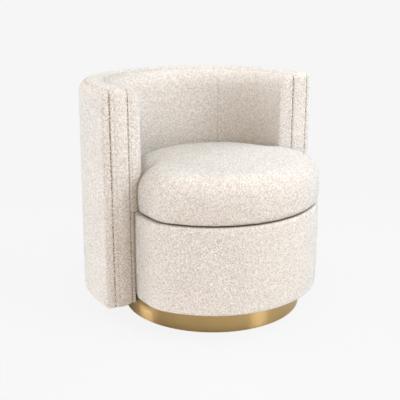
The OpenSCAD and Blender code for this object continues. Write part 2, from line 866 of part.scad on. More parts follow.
module outer_lining() {
    color(board_colour)
        barrel(lining_out_r - lining_t, lining_out_r, core_front, core_foot_z, core_top_z - core_foot_z);
}

module inner_foam() {
    color(foam_colour) difference() {
        inner_body(foam_skin, inner_seam_r - seam_line);
        frame_core(seat_fit);
        frame_bolt_holes(bolt_hole_r);
    }
}

module outer_foam() {
    color(foam_colour) outer_body(foam_skin, lining_out_r + 2 * seat_fit);
}

module band_foam() {
    color(foam_colour) difference() {
        band_body(foam_skin, inner_seam_r + seam_line, lining_out_r);
        frame_core(seat_fit);
    }
}

module outer_cover() {
    color(cloth_colour) difference() {
        outer_body(0, outer_seam_r + seam_line);
        outer_body(cover_t, outer_seam_r - seam_turn_in);
    }
}

module inner_cover() {
    difference() {
        inner_body(0, inner_seam_r - seam_line);
        inner_body(cover_t, inner_seam_r + seam_turn_in);
        frame_bolt_holes(bolt_hole_r);
    }
}

module inner_cover_middle() {
    color(cloth_colour) intersection() {
        inner_cover();
        middle_wedge(back_seam_angle);
    }
}

// Side panel of the inner back, on the side that the sign gives
module inner_side_cover(side) {
    intersection() {
        difference() {
            inner_cover();
            middle_wedge(back_seam_angle + panel_gap_angle);
        }
        translate([side > 0 ? 0 : -far, -far / 2, 0]) cube(far);
    }
}

module inner_cover_left() {
    color(cloth_colour) inner_side_cover(-1);
}

module inner_cover_right() {
    color(cloth_colour) inner_side_cover(1);
}

module band_cover() {
    color(cloth_colour) difference() {
        band_body(0, inner_seam_r + seam_line, outer_seam_r - seam_line);
        band_body(cover_t, inner_seam_r - seam_turn_in, outer_seam_r + seam_turn_in);
    }
}

module back_dust_cloth() {
    color(dust_colour)
        barrel(inner_seam_r - inner_foot_roll / 2, outer_seam_r + foot_roll / 2, core_front,
            back_foot_z - seat_fit - dust_cloth_t, dust_cloth_t);
}

// Bolts from inside the seat frame out into the back's uprights
module frame_bolts() {
    shank = frame_out_r - seat_post_in_r - nut_flange_t - nut_sink;
    color(steel_colour) for (a = frame_bolt_angles, z = frame_bolt_heights)
        translate([0, back_centre_y, z]) rotate([0, 90, a])
            translate([0, 0, seat_post_in_r - seat_fit]) bolt(shank);
}

module frame_nuts() {
    color(steel_colour) for (a = frame_bolt_angles, z = frame_bolt_heights)
        translate([0, back_centre_y, z]) rotate([0, 90, a])
            translate([0, 0, frame_out_r - nut_sink]) mirror([0, 0, 1]) tee_nut();
}

// Share of the way from the laps to the cushion's rear
function rearward(y) = max(0, (y - lap_back_y) / (cushion_rear_y - lap_back_y));

// Share of the front's higher side at a point, none behind the laps
function frontward(p) = p.y < lap_back_y ? 1 - pow(p.x / cushion_lap_x, 2) : 0;

// Point of the cushion's outline with its crown's width of rise and the height of its side
function edge_point(p) =
    let (rear = rearward(p.y), beside = pow(p.x / cushion_lap_x, 3))
    let (rise_w = front_rise_w + (lap_rise_w - front_rise_w) * beside)
    let (side_h = cushion_side_h + front_side_rise * frontward(p) - rear_side_drop * rear)
    [p.x, p.y, rise_w + (rear_rise_w - rise_w) * rear, side_h];

// Right half of the cushion's outline, from the middle of its front to the middle of its rear
function cushion_half() =
    let (hub = turn_hub(cushion_r, cushion_lap_x), turn = atan2(hub.y, hub.x), c = lap_corner_r)
    concat(
        [for (p = oval(0, 0, cushion_r, cushion_r, -90, turn, front_points)) edge_point(p)],
        [for (i = [1:turn_points])
            let (a = turn * (1 - i / turn_points)) edge_point(hub + front_turn_r * [cos(a), sin(a)])],
        [for (p = oval(cushion_lap_x - c, lap_back_y - c, c, c, 0, 60, 2)) edge_point(p)],
        [[cushion_rear_r + neck_corner, lap_back_y, neck_rise_w, neck_side_h]],
        [[cushion_rear_r, lap_back_y + neck_corner, neck_rise_w, neck_side_h]],
        [for (p = oval(0, back_centre_y, cushion_rear_r, cushion_rear_r, 0, 90, rear_points)) edge_point(p)]
    );

// The whole outline, anticlockwise
function cushion_outline() =
    let (half = cushion_half(), last = len(half) - 1)
    concat(half, [for (i = [last - 1:-1:1]) let (p = half[i]) [-p.x, p.y, p.z, p[3]]]);

// Place of an outline point drawn in towards the hub by an inset and then by a share, at height z
function drawn_in(p, inset, share, z) =
    let (place = cushion_hub + ([p.x, p.y] - cushion_hub) * (1 - inset / cushion_r) * (1 - share))
    [place.x, place.y, z];

// Share of its full height that the crown has reached at an outline point's share of the way to the hub
function crown_rise(p, share) =
    let (along = min(1, share * norm([p.x, p.y] - cushion_hub) / p.z))
    sqrt(1 - pow(1 - along, 2));

// Rings of the cushion's surface, skin depth t inside it, from its underside up to its crown
function cushion_rings(t) =
    let (outline = cushion_outline(), foot = cushion_foot_roll, roll = foot - t, top = cushion_h - t)
    concat(
        [[for (p = outline) drawn_in(p, foot + underside_inset, 0, cushion_z + t)]],
        [for (a = [0, 45, 90])
            [for (p = outline)
                drawn_in(p, cushion_draw + foot - roll * sin(a), 0, cushion_z + foot - roll * cos(a))]],
        [[for (p = outline) drawn_in(p, t, 0, cushion_z + foot + (p[3] - foot) * waist_share)]],
        [for (i = [0:crown_rings - 1])
            let (share = pow(i / crown_rings, 2))
            [for (p = outline)
                let (rise = p[3] + (top - p[3]) * crown_rise(p, share) + cushion_crown * share)
                drawn_in(p, t, share, cushion_z + rise)]]
    );

// Closed form through rings of points, with a point at the middle of each end
module loft(rings, foot, top) {
    n = len(rings[0]);
    last = len(rings) - 1;
    points = concat([for (ring = rings, p = ring) p], [foot, top]);
    faces = concat(
        [for (k = [0:last - 1], i = [0:n - 1])
            let (j = (i + 1) % n) [k * n + i, (k + 1) * n + i, (k + 1) * n + j]],
        [for (k = [0:last - 1], i = [0:n - 1])
            let (j = (i + 1) % n) [k * n + i, (k + 1) * n + j, k * n + j]],
        [for (i = [0:n - 1]) [len(points) - 2, i, (i + 1) % n]],
        [for (i = [0:n - 1]) [len(points) - 1, last * n + (i + 1) % n, last * n + i]]
    );
    polyhedron(points, faces);
}

module cushion_body(t) {
    hub = cushion_hub;
    crown = [hub.x, hub.y, cushion_z + cushion_h + cushion_crown - t];
    loft(cushion_rings(t), [hub.x, hub.y, cushion_z + t], crown);
}

module cushion_foam() {
    color(foam_colour) cushion_body(foam_skin);
}

module cushion_cover() {
    color(cloth_colour) difference() {
        cushion_body(0);
        cushion_body(cover_t);
    }
}

// Zip across the back of the cushion: tape, teeth and slider
module cushion_zip() {
    tape_r = cushion_rear_r + zip_gap;
    first = 90 - zip_angle / 2;
    color(zip_colour) translate([0, back_centre_y, zip_z]) {
        rotate_extrude(angle = zip_angle, start = first)
            translate([tape_r, -zip_w / 2]) square([zip_tape_t, zip_w]);
        rotate_extrude(angle = zip_angle - 2 * zip_end_angle, start = first + zip_end_angle)
            translate([tape_r + zip_tape_t, -zip_teeth.y / 2]) square(zip_teeth);
        rotate(first) translate([tape_r + zip_tape_t / 4, 0, -zip_slider.z / 2]) cube(zip_slider);
    }
}

plinth_ring();
plinth_foot_board();
plinth_deck_board();
plinth_blocks();
plinth_screws();
floor_glides();
swivel_lower_plate();
swivel_lower_bolts();
swivel_lower_nuts();
pivot_pin();
pivot_clip();
bearing_balls();
bearing_cage();
swivel_upper_plate();
swivel_upper_bolts();
swivel_upper_nuts();
seat_board();
seat_posts();
seat_ring();
webs_lengthwise();
webs_crosswise();
deck_pad();
deck_cloth();
drum_wall();
drum_foam();
drum_cover();
drum_dust_cloth();
back_foot_rail();
back_middle_rail();
back_top_rail();
back_posts();
inner_lining();
outer_lining();
inner_foam();
outer_foam();
band_foam();
outer_cover();
inner_cover_middle();
inner_cover_left();
inner_cover_right();
band_cover();
back_dust_cloth();
frame_bolts();
frame_nuts();
cushion_foam();
cushion_cover();
cushion_zip();
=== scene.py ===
"""Looks of a barrel swivel armchair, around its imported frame.

Metres, +Z up, the sitter looks towards -Y.
"""

import itertools
import json
import math

import bpy
import numpy as np
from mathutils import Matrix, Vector


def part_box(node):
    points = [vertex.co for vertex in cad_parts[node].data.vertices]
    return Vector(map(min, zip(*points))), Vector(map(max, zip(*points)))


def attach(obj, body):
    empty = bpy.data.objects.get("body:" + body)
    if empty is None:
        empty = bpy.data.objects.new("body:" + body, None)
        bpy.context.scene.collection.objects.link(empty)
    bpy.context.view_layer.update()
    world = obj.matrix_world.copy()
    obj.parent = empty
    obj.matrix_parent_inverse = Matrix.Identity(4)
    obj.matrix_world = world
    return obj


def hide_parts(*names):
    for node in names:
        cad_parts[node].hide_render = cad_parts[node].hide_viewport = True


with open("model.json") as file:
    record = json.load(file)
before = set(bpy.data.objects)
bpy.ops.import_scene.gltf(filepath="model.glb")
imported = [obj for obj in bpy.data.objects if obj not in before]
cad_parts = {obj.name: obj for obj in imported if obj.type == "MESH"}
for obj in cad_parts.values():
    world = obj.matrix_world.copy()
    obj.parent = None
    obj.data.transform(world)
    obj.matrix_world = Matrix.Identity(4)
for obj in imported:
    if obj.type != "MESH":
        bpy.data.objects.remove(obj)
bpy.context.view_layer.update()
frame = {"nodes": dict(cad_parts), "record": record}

# Main sizes, read from the frame where its boxes hold them
OUTER_LOW, OUTER_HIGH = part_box("outer_cover")
_, BAND_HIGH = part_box("band_cover")
DRUM_LOW, DRUM_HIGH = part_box("drum_cover")
CUSHION_LOW, CUSHION_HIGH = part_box("cushion_cover")
RING_LOW, RING_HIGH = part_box("plinth_ring")
DECK_LOW, DECK_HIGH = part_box("deck_cloth")

BACK_Y = OUTER_HIGH.y - OUTER_HIGH.x  # centre of the curved back
FOOT_Z = OUTER_LOW.z
TOP_Z = OUTER_HIGH.z  # level of the top seams
OUTER_SEAM = round(BAND_HIGH.x, 4)  # radius of the outer seam
FOOT_SWELL = OUTER_HIGH.x - OUTER_SEAM
FRONT_Y = OUTER_LOW.y  # plane of the arm fronts
CROWN = BAND_HIGH.z - TOP_Z
BAND_W = 0.057
INNER_SEAM = OUTER_SEAM - BAND_W
TOP_SWELL = 0.021
OUTER_ROLL = 0.036
INNER_SWELL = 0.048
INNER_ROLL = 0.058
LOW_SWELL = 0.013  # of the inner panel below the seat deck
PAD_ROLL = 0.010  # lower edge of the inner panel's pad, above the seat deck
CORNER_R = 0.016  # the band's turn from the top down the arm front, and the panels' front roll
OUTER_FOOT_ROLL = 0.012
INNER_FOOT_ROLL = 0.008
BAND_FOOT_ROLL = 0.007
BAND_TURN_IN = 0.022  # of the band under the arm's foot
BACK_SEAM_ANGLE = math.radians(45)
PIECE_GAP = 0.0003  # between covers that lie on each other
DRUM_R = -DRUM_LOW.y
LAP_X = DRUM_HIGH.x
FRONT_TURN = 0.100  # radius between the drum's round front and its straight sides
LAP_Y = FRONT_Y - CROWN - 0.003  # rear of the laps in front of the arms
LAP_CORNER = 0.025
DRUM_REAR_R = INNER_SEAM - LOW_SWELL - PIECE_GAP
DRUM_FOOT_ROLL = 0.007
DRUM_TOP_ROLL = 0.009
DRUM_FOOT_TURN_IN = 0.025
DRUM_TOP_TURN_IN = 0.032
DRUM_BULGE = 0.0016
WADDING = 0.003  # of the cushion, between its foam and its cover
CUSHION_SWELL = 0.0025
CUSHION_VOXEL = 0.0065
CUSHION_SMOOTHING = 14  # rounds
SWELL_FRAMES = 20
DECK_HUB = np.array([0, -0.02])
DUST_HOLE_R = 0.134
DUST_CLOTH_W = 0.085
DUST_CLOTH_LIFT = 0.0004  # of the dust cloths' middle surface above their lower one
STAPLE_GAP = 0.045
STAPLE_WIRE = 0.0006
STAPLE_HALF_W = 0.005
SEAT_HEM = 0.036  # from the edge of the seat's dust cloth to its staples
BACK_HEM = 0.006
BRASS_THICK = 0.0012
BRASS_EASE = 0.0005  # of its edges
CUSHION_REAR_R = CUSHION_HIGH.y - BACK_Y
QUARTER = math.pi / 2 * OUTER_SEAM
HALF_LENGTH = BACK_Y - FRONT_Y + QUARTER  # of the outer seam, from the back's middle to an arm front

CLOTH_STEP = 0.0035  # spacing of the looped cloth's mesh
FINE_HALF_W = 0.007  # half the width of the finer mesh along an upright seam
LOOP_SIZE = 0.0055
LOOP_HEIGHT = 0.0008
KNOT_SIZE = 0.0024  # of the curled yarn's knots on the loops
SEAM_DEPTH = 0.0026
SEAM_WIDTH = 0.0021
BACK_SEAM_DEPTH = 0.0018  # of the inner panels' upright seams, at full strength
BACK_SEAM_WIDTH = 0.0026
LEFT_SEAM_STRENGTH = 0.4
RIGHT_SEAM_STRENGTH = 0.6
EDGE_LAP = 0.0002  # of one cover over the next along a seam
BAND_STITCH = 0.013  # from the outer seam to the stitches that show on the band
BAND_STITCH_DEPTH = 0.0008
PANEL_STITCH = 0.011  # from the inner seam to the stitches that show on the inner panel
PANEL_STITCH_DEPTH = 0.0007
STITCH_WIDTH = 0.0018
STITCH_MARK = 0.0015  # width of the stitches' darker line
STITCH_SHADE = 0.3  # of that line, where a seam's is 1
LOOPS_FADE = 0.006  # from bare cloth where a cover is turned in to full loops

# The photo's camera, fitted to the object's edges
CAMERA_AZIMUTH = math.radians(-33.6)
CAMERA_ELEVATION = math.radians(16.3)
CAMERA_DISTANCE = 2.4704
CAMERA_TARGET = Vector((0.045, 0.1371, 0.2824))
CAMERA_LENS = 66.2
SENSOR_WIDTH = 36


# Meshes


def mesh_object(name, points, faces):
    mesh = bpy.data.meshes.new(name)
    mesh.from_pydata(np.asarray(points).tolist(), [], np.asarray(faces).tolist())
    mesh.polygons.foreach_set("use_smooth", [True] * len(mesh.polygons))
    made = bpy.data.objects.new(name, mesh)
    bpy.context.scene.collection.objects.link(made)
    return made


def grid_faces(rows, columns, closed=False):
    """Quads of a grid of points, joined around its columns if it is closed."""
    row = np.arange(rows - 1)[:, None] * columns
    column = np.arange(columns if closed else columns - 1)[None, :]
    following = (column + 1) % columns
    corners = [row + column, row + following, row + columns + following, row + columns + column]
    return np.stack(corners, -1).reshape(-1, 4)


def grid_object(name, points, closed=False, flip=False):
    """Mesh over a grid of points with rows, columns and x, y, z."""
    faces = grid_faces(points.shape[0], points.shape[1], closed)
    return mesh_object(name, points.reshape(-1, 3), faces[:, ::-1] if flip else faces)


def vertex_array(thing):
    points = np.empty(len(thing.data.vertices) * 3)
    thing.data.vertices.foreach_get("co", points)
    return points.reshape(-1, 3)


def normal_array(thing):
    normals = np.empty(len(thing.data.vertices) * 3)
    thing.data.vertex_normals.foreach_get("vector", normals)
    return normals.reshape(-1, 3)


def set_vertices(thing, points):
    thing.data.vertices.foreach_set("co", points.ravel())
    thing.data.update()


def keep_attribute(thing, name, values):
    kind, field = ("FLOAT_VECTOR", "vector") if values.ndim == 2 else ("FLOAT", "value")
    attribute = thing.data.attributes.new(name, kind, "POINT")
    attribute.data.foreach_set(field, values.astype(np.float32).ravel())


def spaced(start, stop, step):
    """Evenly spaced numbers from start to stop, about step apart."""
    return np.linspace(start, stop, max(2, int(round(abs(stop - start) / step)) + 1))


def joined(*runs):
    """Runs of numbers, each starting where the last one ends, as one run."""
    return np.concatenate([runs[0]] + [run[1:] for run in runs[1:]])


# Looped cloth


def scatter(cells):
    """A repeatable offset from 0 to 1 on each axis for each whole-numbered cell."""
    mixed = cells[:, 0] * 73856093 ^ cells[:, 1] * 19349663 ^ cells[:, 2] * 83492791
    offsets = []
    for salt in (12582917, 4256249, 741457):
        value = (mixed * salt) & 0xFFFFFFFF
        value = (((value >> 15) ^ value) * 2246822519) & 0xFFFFFFFF
        offsets.append((((value >> 13) ^ value) & 0xFFFF) / 0xFFFF)
    return np.stack(offsets, 1)


def loops_at(points, size):
    """Height of the loops at each point, from 0 between them to 1 on top."""
    place = points / size
    cell = np.floor(place).astype(np.int64)
    nearest = np.full(len(place), 4.0)
    for step in itertools.product((-1, 0, 1), repeat=3):
        beside = cell + np.array(step)
        nearest = np.minimum(nearest, ((beside + scatter(beside) - place) ** 2).sum(1))
    return np.clip(1 - nearest, 0, 1)


def loop_cloth(thing, shown=None, seam=None):
    """Raises the cloth's loops, less where shown is below 1, and marks the seams that press them down."""
    rest = vertex_array(thing)
    seam = np.zeros(len(rest)) if seam is None else seam
    height = 0.7 * loops_at(rest, LOOP_SIZE) + 0.3 * loops_at(rest + 0.5, 2 * LOOP_SIZE)
    height = height * (1 - np.clip(seam, 0, 1)) * (1 if shown is None else shown)
    set_vertices(thing, rest + normal_array(thing) * (LOOP_HEIGHT * height)[:, None])
    keep_attribute(thing, "rest", rest)
    keep_attribute(thing, "seam", seam)


def bell(distance, width):
    """1 at a line and falling off at a distance from it."""
    return np.exp(-((distance / width) ** 2))


def groove(distance, depth=SEAM_DEPTH, width=SEAM_WIDTH):
    """Depth of a seam's groove at a distance from the seam."""
    return depth * bell(distance, width)


# Curved back


def barrel_point(along, radius):
    """Point in plan at a distance along the outer seam from the back's middle, at a radius."""
    angle = np.clip(along, -QUARTER, QUARTER) / OUTER_SEAM
    straight = np.maximum(np.abs(along) - QUARTER, 0)
    return radius * np.sin(angle), BACK_Y + radius * np.cos(angle) - straight


def roll_shares(roll):
    """Shares, from 0 to 1, of the way into a rolled edge, evenly spaced over its surface."""
    coarse = spaced(0, 1.25, CLOTH_STEP / roll)
    fine = spaced(1.25, math.pi / 2, 0.4 * CLOTH_STEP / roll)
    return np.sin(joined(coarse, fine))


def panel_points(rows, along, front, radius, outward, most, narrow_seams=(), stitch=None):
    """Grid over a panel that reaches from its foot to a seam over the top and down the arm fronts.

    Each row is (height where the top's roll starts, share of the roll, swell there).
    along holds distances to where the front rolls start, and front the share of the front roll at each.
    """
    start, up, swell = (np.array(column)[:, None] for column in zip(*rows))
    across = np.abs(front)[None, :] + 0 * start
    corner = np.sqrt(np.clip(1 - across**2, 0, 1))
    # The top's roll and the front's meet in an eased corner: the lesser swell of both, blended
    front_swell = most * corner * (1.35 - 0.35 * across)
    swell = swell * front_swell / (swell**6 + front_swell**6 + 1e-30) ** (1 / 6)
    from_seam = swell + 0
    dip = groove(from_seam)
    top = TOP_Z - CORNER_R * (1 - corner)
    height = start + (top - start) * up - dip * up * corner
    forward = (CORNER_R - dip) * across
    seam = bell(from_seam, SEAM_WIDTH) * (1 - 0.6 * up * corner)
    if stitch:
        swell = swell - groove(from_seam - stitch, PANEL_STITCH_DEPTH, STITCH_WIDTH)
        seam = np.maximum(seam, STITCH_SHADE * bell(from_seam - stitch, STITCH_MARK))
    for place, strength in narrow_seams:
        beside = (along - place)[None, :] * radius / OUTER_SEAM
        swell = swell - strength * groove(beside, BACK_SEAM_DEPTH, BACK_SEAM_WIDTH)
        seam = np.maximum(seam, 0.5 * strength * bell(beside, 0.0024) + 0 * seam)
    x, y = barrel_point(along[None, :] + np.sign(front)[None, :] * forward, radius + outward * swell)
    return np.stack([x, y, height], -1), seam


def panel_columns(start, stop, roll, fine_at=()):
    """Distances along a panel and, at an arm front, shares of its front roll."""
    edge = HALF_LENGTH - roll
    first, last = max(start, -edge), min(stop, edge)
    marks = sorted({first, last, *(f + s for f in fine_at for s in (-FINE_HALF_W, FINE_HALF_W))})
    marks = [m for m in marks if first <= m <= last]
    runs = []
    for low, high in zip(marks, marks[1:]):
        near = any(low - 1e-6 <= f <= high + 1e-6 for f in fine_at)
        runs.append(spaced(low, high, (0.4 if near else 1) * CLOTH_STEP))
    middle = joined(*runs)
    shares = roll_shares(4 * roll)[1:]
    along, front = [middle], [0 * middle]
    if start < -edge:
        along.insert(0, np.full(len(shares), -edge))
        front.insert(0, -shares[::-1])
    if stop > edge:
        along.append(np.full(len(shares), edge))
        front.append(shares)
    return np.concatenate(along), np.concatenate(front)


def outer_rows():
    """Rows of the outer panel, from its turned-in foot up to the seam."""
    rows = []
    foot_r, foot_top = OUTER_FOOT_ROLL, FOOT_Z + OUTER_FOOT_ROLL
    for inward in spaced(FOOT_SWELL, foot_r, 2 * CLOTH_STEP)[:-1]:
        rows.append((FOOT_Z, 0, FOOT_SWELL - inward))
    for angle in spaced(0, math.pi / 2, CLOTH_STEP / foot_r)[:-1]:
        lift = foot_r * (1 - math.cos(angle))
        rows.append((FOOT_Z + lift, 0, FOOT_SWELL - foot_r * (1 - math.sin(angle))))
    for height in spaced(foot_top, TOP_Z - OUTER_ROLL, CLOTH_STEP)[:-1]:
        share = (height - foot_top) / (TOP_Z - OUTER_ROLL - foot_top)
        rows.append((height, 0, FOOT_SWELL + (TOP_SWELL - FOOT_SWELL) * share))
    for share in roll_shares(OUTER_ROLL):
        rows.append((TOP_Z - OUTER_ROLL, share, TOP_SWELL * math.sqrt(max(0, 1 - share**2))))
    return rows


def inner_rows():
    """Rows of the inner panel, from its foot past the seat deck and up to the seam."""
    rows = []
    pad_z = DRUM_HIGH.z + PIECE_GAP
    for angle in spaced(0, math.pi / 2, 2 * CLOTH_STEP / INNER_FOOT_ROLL):
        swell = LOW_SWELL - INNER_FOOT_ROLL * (1 - math.sin(angle))
        rows.append((FOOT_Z + INNER_FOOT_ROLL * (1 - math.cos(angle)), 0, swell))
    for height in spaced(FOOT_Z + INNER_FOOT_ROLL, pad_z, 3 * CLOTH_STEP)[1:]:
        rows.append((height, 0, LOW_SWELL))
    for swell in spaced(LOW_SWELL, INNER_SWELL - PAD_ROLL, CLOTH_STEP)[1:]:
        rows.append((pad_z, 0, swell))
    for angle in spaced(0, math.pi / 2, CLOTH_STEP / PAD_ROLL)[1:]:
        swell = INNER_SWELL - PAD_ROLL * (1 - math.sin(angle))
        rows.append((pad_z + PAD_ROLL * (1 - math.cos(angle)), 0, swell))
    for height in spaced(pad_z + PAD_ROLL, TOP_Z - INNER_ROLL, CLOTH_STEP)[1:-1]:
        rows.append((height, 0, INNER_SWELL))
    for share in roll_shares(INNER_ROLL):
        rows.append((TOP_Z - INNER_ROLL, share, INNER_SWELL * math.sqrt(max(0, 1 - share**2))))
    return rows


def make_outer_panel():
    """The one panel around the back and both arms."""
    along, front = panel_columns(-HALF_LENGTH, HALF_LENGTH, CORNER_R)
    points, seam = panel_points(outer_rows(), along, front, OUTER_SEAM - EDGE_LAP, 1, FOOT_SWELL)
    panel = grid_object("outer_panel", points)
    shown = np.clip((points[..., 2] - FOOT_Z - 0.002) / LOOPS_FADE, 0, 1).ravel()
    loop_cloth(panel, shown, seam.ravel())
    return panel


def make_inner_panel(name, start, stop, narrow_seams):
    """A panel of the padded inner back, between two distances along the outer seam."""
    along, front = panel_columns(start, stop, CORNER_R, [place for place, _ in narrow_seams])
    points, seam = panel_points(
        inner_rows(), along, front, INNER_SEAM + EDGE_LAP, -1, INNER_SWELL, narrow_seams, PANEL_STITCH
    )
    panel = grid_object(name, points, flip=True)
    at_front = (np.abs(front) > 0.5)[None, :]
    above = np.clip((points[..., 2] - DRUM_HIGH.z - 0.004) / LOOPS_FADE, 0, 1)
    shown = np.where(at_front & (points[..., 1] < FRONT_Y + 0.004), 1, above)
    loop_cloth(panel, shown.ravel(), seam.ravel())
    return panel


def band_path():
    """Half of the band's course, from under the right arm's foot to the back's middle.

    Each point is (distance along, height, outward direction along, outward direction up).
    """
    course = []
    foot = BAND_FOOT_ROLL
    for back in spaced(BAND_TURN_IN, foot, CLOTH_STEP)[:-1]:
        course.append((HALF_LENGTH - back, FOOT_Z, 0, -1))
    for angle in spaced(0, math.pi / 2, CLOTH_STEP / foot)[:-1]:
        out, down = math.sin(angle), -math.cos(angle)
        course.append((HALF_LENGTH - foot + foot * out, FOOT_Z + foot + foot * down, out, down))
    for height in spaced(FOOT_Z + foot, TOP_Z - CORNER_R, CLOTH_STEP)[:-1]:
        course.append((HALF_LENGTH, height, 1, 0))
    for angle in spaced(0, math.pi / 2, 0.8 * CLOTH_STEP / CORNER_R)[:-1]:
        out, up = math.cos(angle), math.sin(angle)
        along, height = HALF_LENGTH - CORNER_R + CORNER_R * out, TOP_Z - CORNER_R + CORNER_R * up
        course.append((along, height, out, up))
    for along in spaced(HALF_LENGTH - CORNER_R, 0, CLOTH_STEP):
        course.append((along, TOP_Z, 0, 1))
    right = np.array(course)
    left = right[-2::-1] * np.array([-1, 1, -1, 1])
    return np.concatenate([right, left])


def make_band():
    """The band between the two top seams, from foot to foot over both arms and the back."""
    along, height, out, up = (column[:, None] for column in band_path().T)
    radius = joined(
        spaced(INNER_SEAM - EDGE_LAP, INNER_SEAM + 0.016, 0.5 * CLOTH_STEP),
        spaced(INNER_SEAM + 0.016, OUTER_SEAM - 0.016, CLOTH_STEP),
        spaced(OUTER_SEAM - 0.016, OUTER_SEAM + EDGE_LAP, 0.5 * CLOTH_STEP),
    )[None, :]
    share = np.clip((radius - INNER_SEAM) / BAND_W, 0, 1)
    from_seam = np.minimum(radius - INNER_SEAM, OUTER_SEAM - radius)
    from_stitch = OUTER_SEAM - BAND_STITCH - radius
    rise = CROWN * np.sin(math.pi * share) - groove(from_seam)
    rise = rise - groove(from_stitch, BAND_STITCH_DEPTH, STITCH_WIDTH)
    x, y = barrel_point(along + out * rise, radius + 0 * along)
    points = np.stack([x, y, height + up * rise], -1)
    band = grid_object("top_band", points)
    seam = np.maximum(bell(from_seam, SEAM_WIDTH), STITCH_SHADE * bell(from_stitch, STITCH_MARK))
    loop_cloth(band, None, (seam * (1 - 0.6 * up)).ravel())
    return band


# Seat drum


def drum_outline(inset, step):
    """Outline of the seat drum, anticlockwise from the middle of its front.

    It has as many points for any inset.
    """
    corner = max(LAP_CORNER, inset)
    corner_r = corner - inset
    front_r, side_x, rear_r = DRUM_R - inset, LAP_X - inset, DRUM_REAR_R - inset
    hub_x = LAP_X - FRONT_TURN
    hub_y = -math.sqrt((DRUM_R - FRONT_TURN) ** 2 - hub_x**2)
    turn = math.atan2(hub_x, -hub_y)
    centre_x, centre_y = LAP_X - corner, LAP_Y - corner
    half = []
    for angle in np.linspace(0, turn, int(DRUM_R * turn / step))[:-1]:
        half.append((front_r * math.sin(angle), -front_r * math.cos(angle)))
    for angle in np.linspace(turn, math.pi / 2, int(FRONT_TURN * (math.pi / 2 - turn) / step))[:-1]:
        turn_r = FRONT_TURN - inset
        half.append((hub_x + turn_r * math.sin(angle), hub_y - turn_r * math.cos(angle)))
    for y in np.linspace(hub_y, centre_y, int(0.06 / step))[:-1]:
        half.append((side_x, y))
    stop = math.acos(min(1, max(0, (rear_r - centre_x) / max(corner_r, 1e-6))))
    for angle in np.linspace(0, stop, int(0.03 / step)):
        half.append((centre_x + corner_r * math.cos(angle), centre_y + corner_r * math.sin(angle)))
    for y in np.linspace(half[-1][1], BACK_Y, 8)[1:-1]:
        half.append((rear_r, y))
    for angle in np.linspace(0, math.pi / 2, int(0.45 / (2 * step))):
        half.append((rear_r * math.cos(angle), BACK_Y + rear_r * math.sin(angle)))
    right = np.array(half)
    left = right[-2:0:-1] * np.array([-1, 1])
    return np.concatenate([right, left])


def drum_rows():
    """(inset, height) of the drum cover's rows, from its turned-in foot to the turned-in top."""
    low, high, foot, top = DRUM_LOW.z, DRUM_HIGH.z, DRUM_FOOT_ROLL, DRUM_TOP_ROLL
    rows = [(inset, low) for inset in spaced(DRUM_FOOT_TURN_IN, foot, CLOTH_STEP)[:-1]]
    for angle in spaced(0, math.pi / 2, CLOTH_STEP / foot)[:-1]:
        rows.append((foot * (1 - math.sin(angle)), low + foot * (1 - math.cos(angle))))
    for height in spaced(low + foot, high - top, CLOTH_STEP)[:-1]:
        share = (height - low - foot) / (high - top - low - foot)
        rows.append((-DRUM_BULGE * math.sin(math.pi * share), height))
    for angle in spaced(0, math.pi / 2, 0.8 * CLOTH_STEP / top)[:-1]:
        rows.append((top * (1 - math.cos(angle)), high - top + top * math.sin(angle)))
    rows += [(inset, high) for inset in spaced(top, DRUM_TOP_TURN_IN, CLOTH_STEP)]
    return rows


def make_drum():
    """The seat drum's fitted cover."""
    rows = []
    for inset, height in drum_rows():
        outline = drum_outline(inset, CLOTH_STEP)
        rows.append(np.column_stack([outline, np.full(len(outline), height)]))
    points = np.array(rows)
    drum = grid_object("drum_wrap", points, closed=True)
    behind = points[..., 1] > LAP_Y - 0.004
    level = np.minimum(points[..., 2] - DRUM_LOW.z, DRUM_HIGH.z - points[..., 2])
    shown = np.clip(level / 0.004, 0, 1) * ~behind
    loop_cloth(drum, shown.ravel())
    return drum


# Pads and cloths inside


def drawn_in(points, share):
    """Points drawn in towards the deck's hub."""
    return DECK_HUB + (points - DECK_HUB) * share


def make_deck_pad():
    """Flat foam pad on the webs, with rounded edges."""
    low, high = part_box("deck_pad")
    thick = high.z - low.z
    rim = drum_outline(DRUM_R + low.y, 0.008)
    rows = []
    for share in spaced(0.04, 0.97, 0.08):
        rows.append((share, low.z))
    for angle in spaced(-math.pi / 2, math.pi / 2, 0.5):
        rows.append((0.97 + 0.03 * math.cos(angle), low.z + thick / 2 * (1 + math.sin(angle))))
    for share in spaced(0.97, 0.04, 0.08):
        rows.append((share, high.z))
    points = [np.column_stack([drawn_in(rim, share), np.full(len(rim), z)]) for share, z in rows]
    return grid_object("deck_padding", np.array(points), closed=True)


def make_deck_cloth():
    """Cotton stretched over the pad, drawn down a little at its rim. Returns it and its flat area."""
    rim = drum_outline(DRUM_R + DECK_LOW.y, 0.004)
    rows = []
    for share in spaced(1, 0.02, 0.012):
        drop = 0.0022 * bell(1 - share, 0.02)
        rows.append(np.column_stack([drawn_in(rim, share), np.full(len(rim), DECK_HIGH.z - drop)]))
    points = np.array(rows)
    wave = 0.0006 * np.sin(70 * points[..., 0] + 9 * points[..., 1]) * np.sin(37 * points[..., 1])
    points[..., 2] -= np.abs(wave)
    return grid_object("seat_deck", points, closed=True), flat_area(rim)


def flat_area(rim):
    """Area inside an outline in plan."""
    x, y = rim.T
    return 0.5 * abs(np.dot(x, np.roll(y, -1)) - np.dot(y, np.roll(x, -1)))


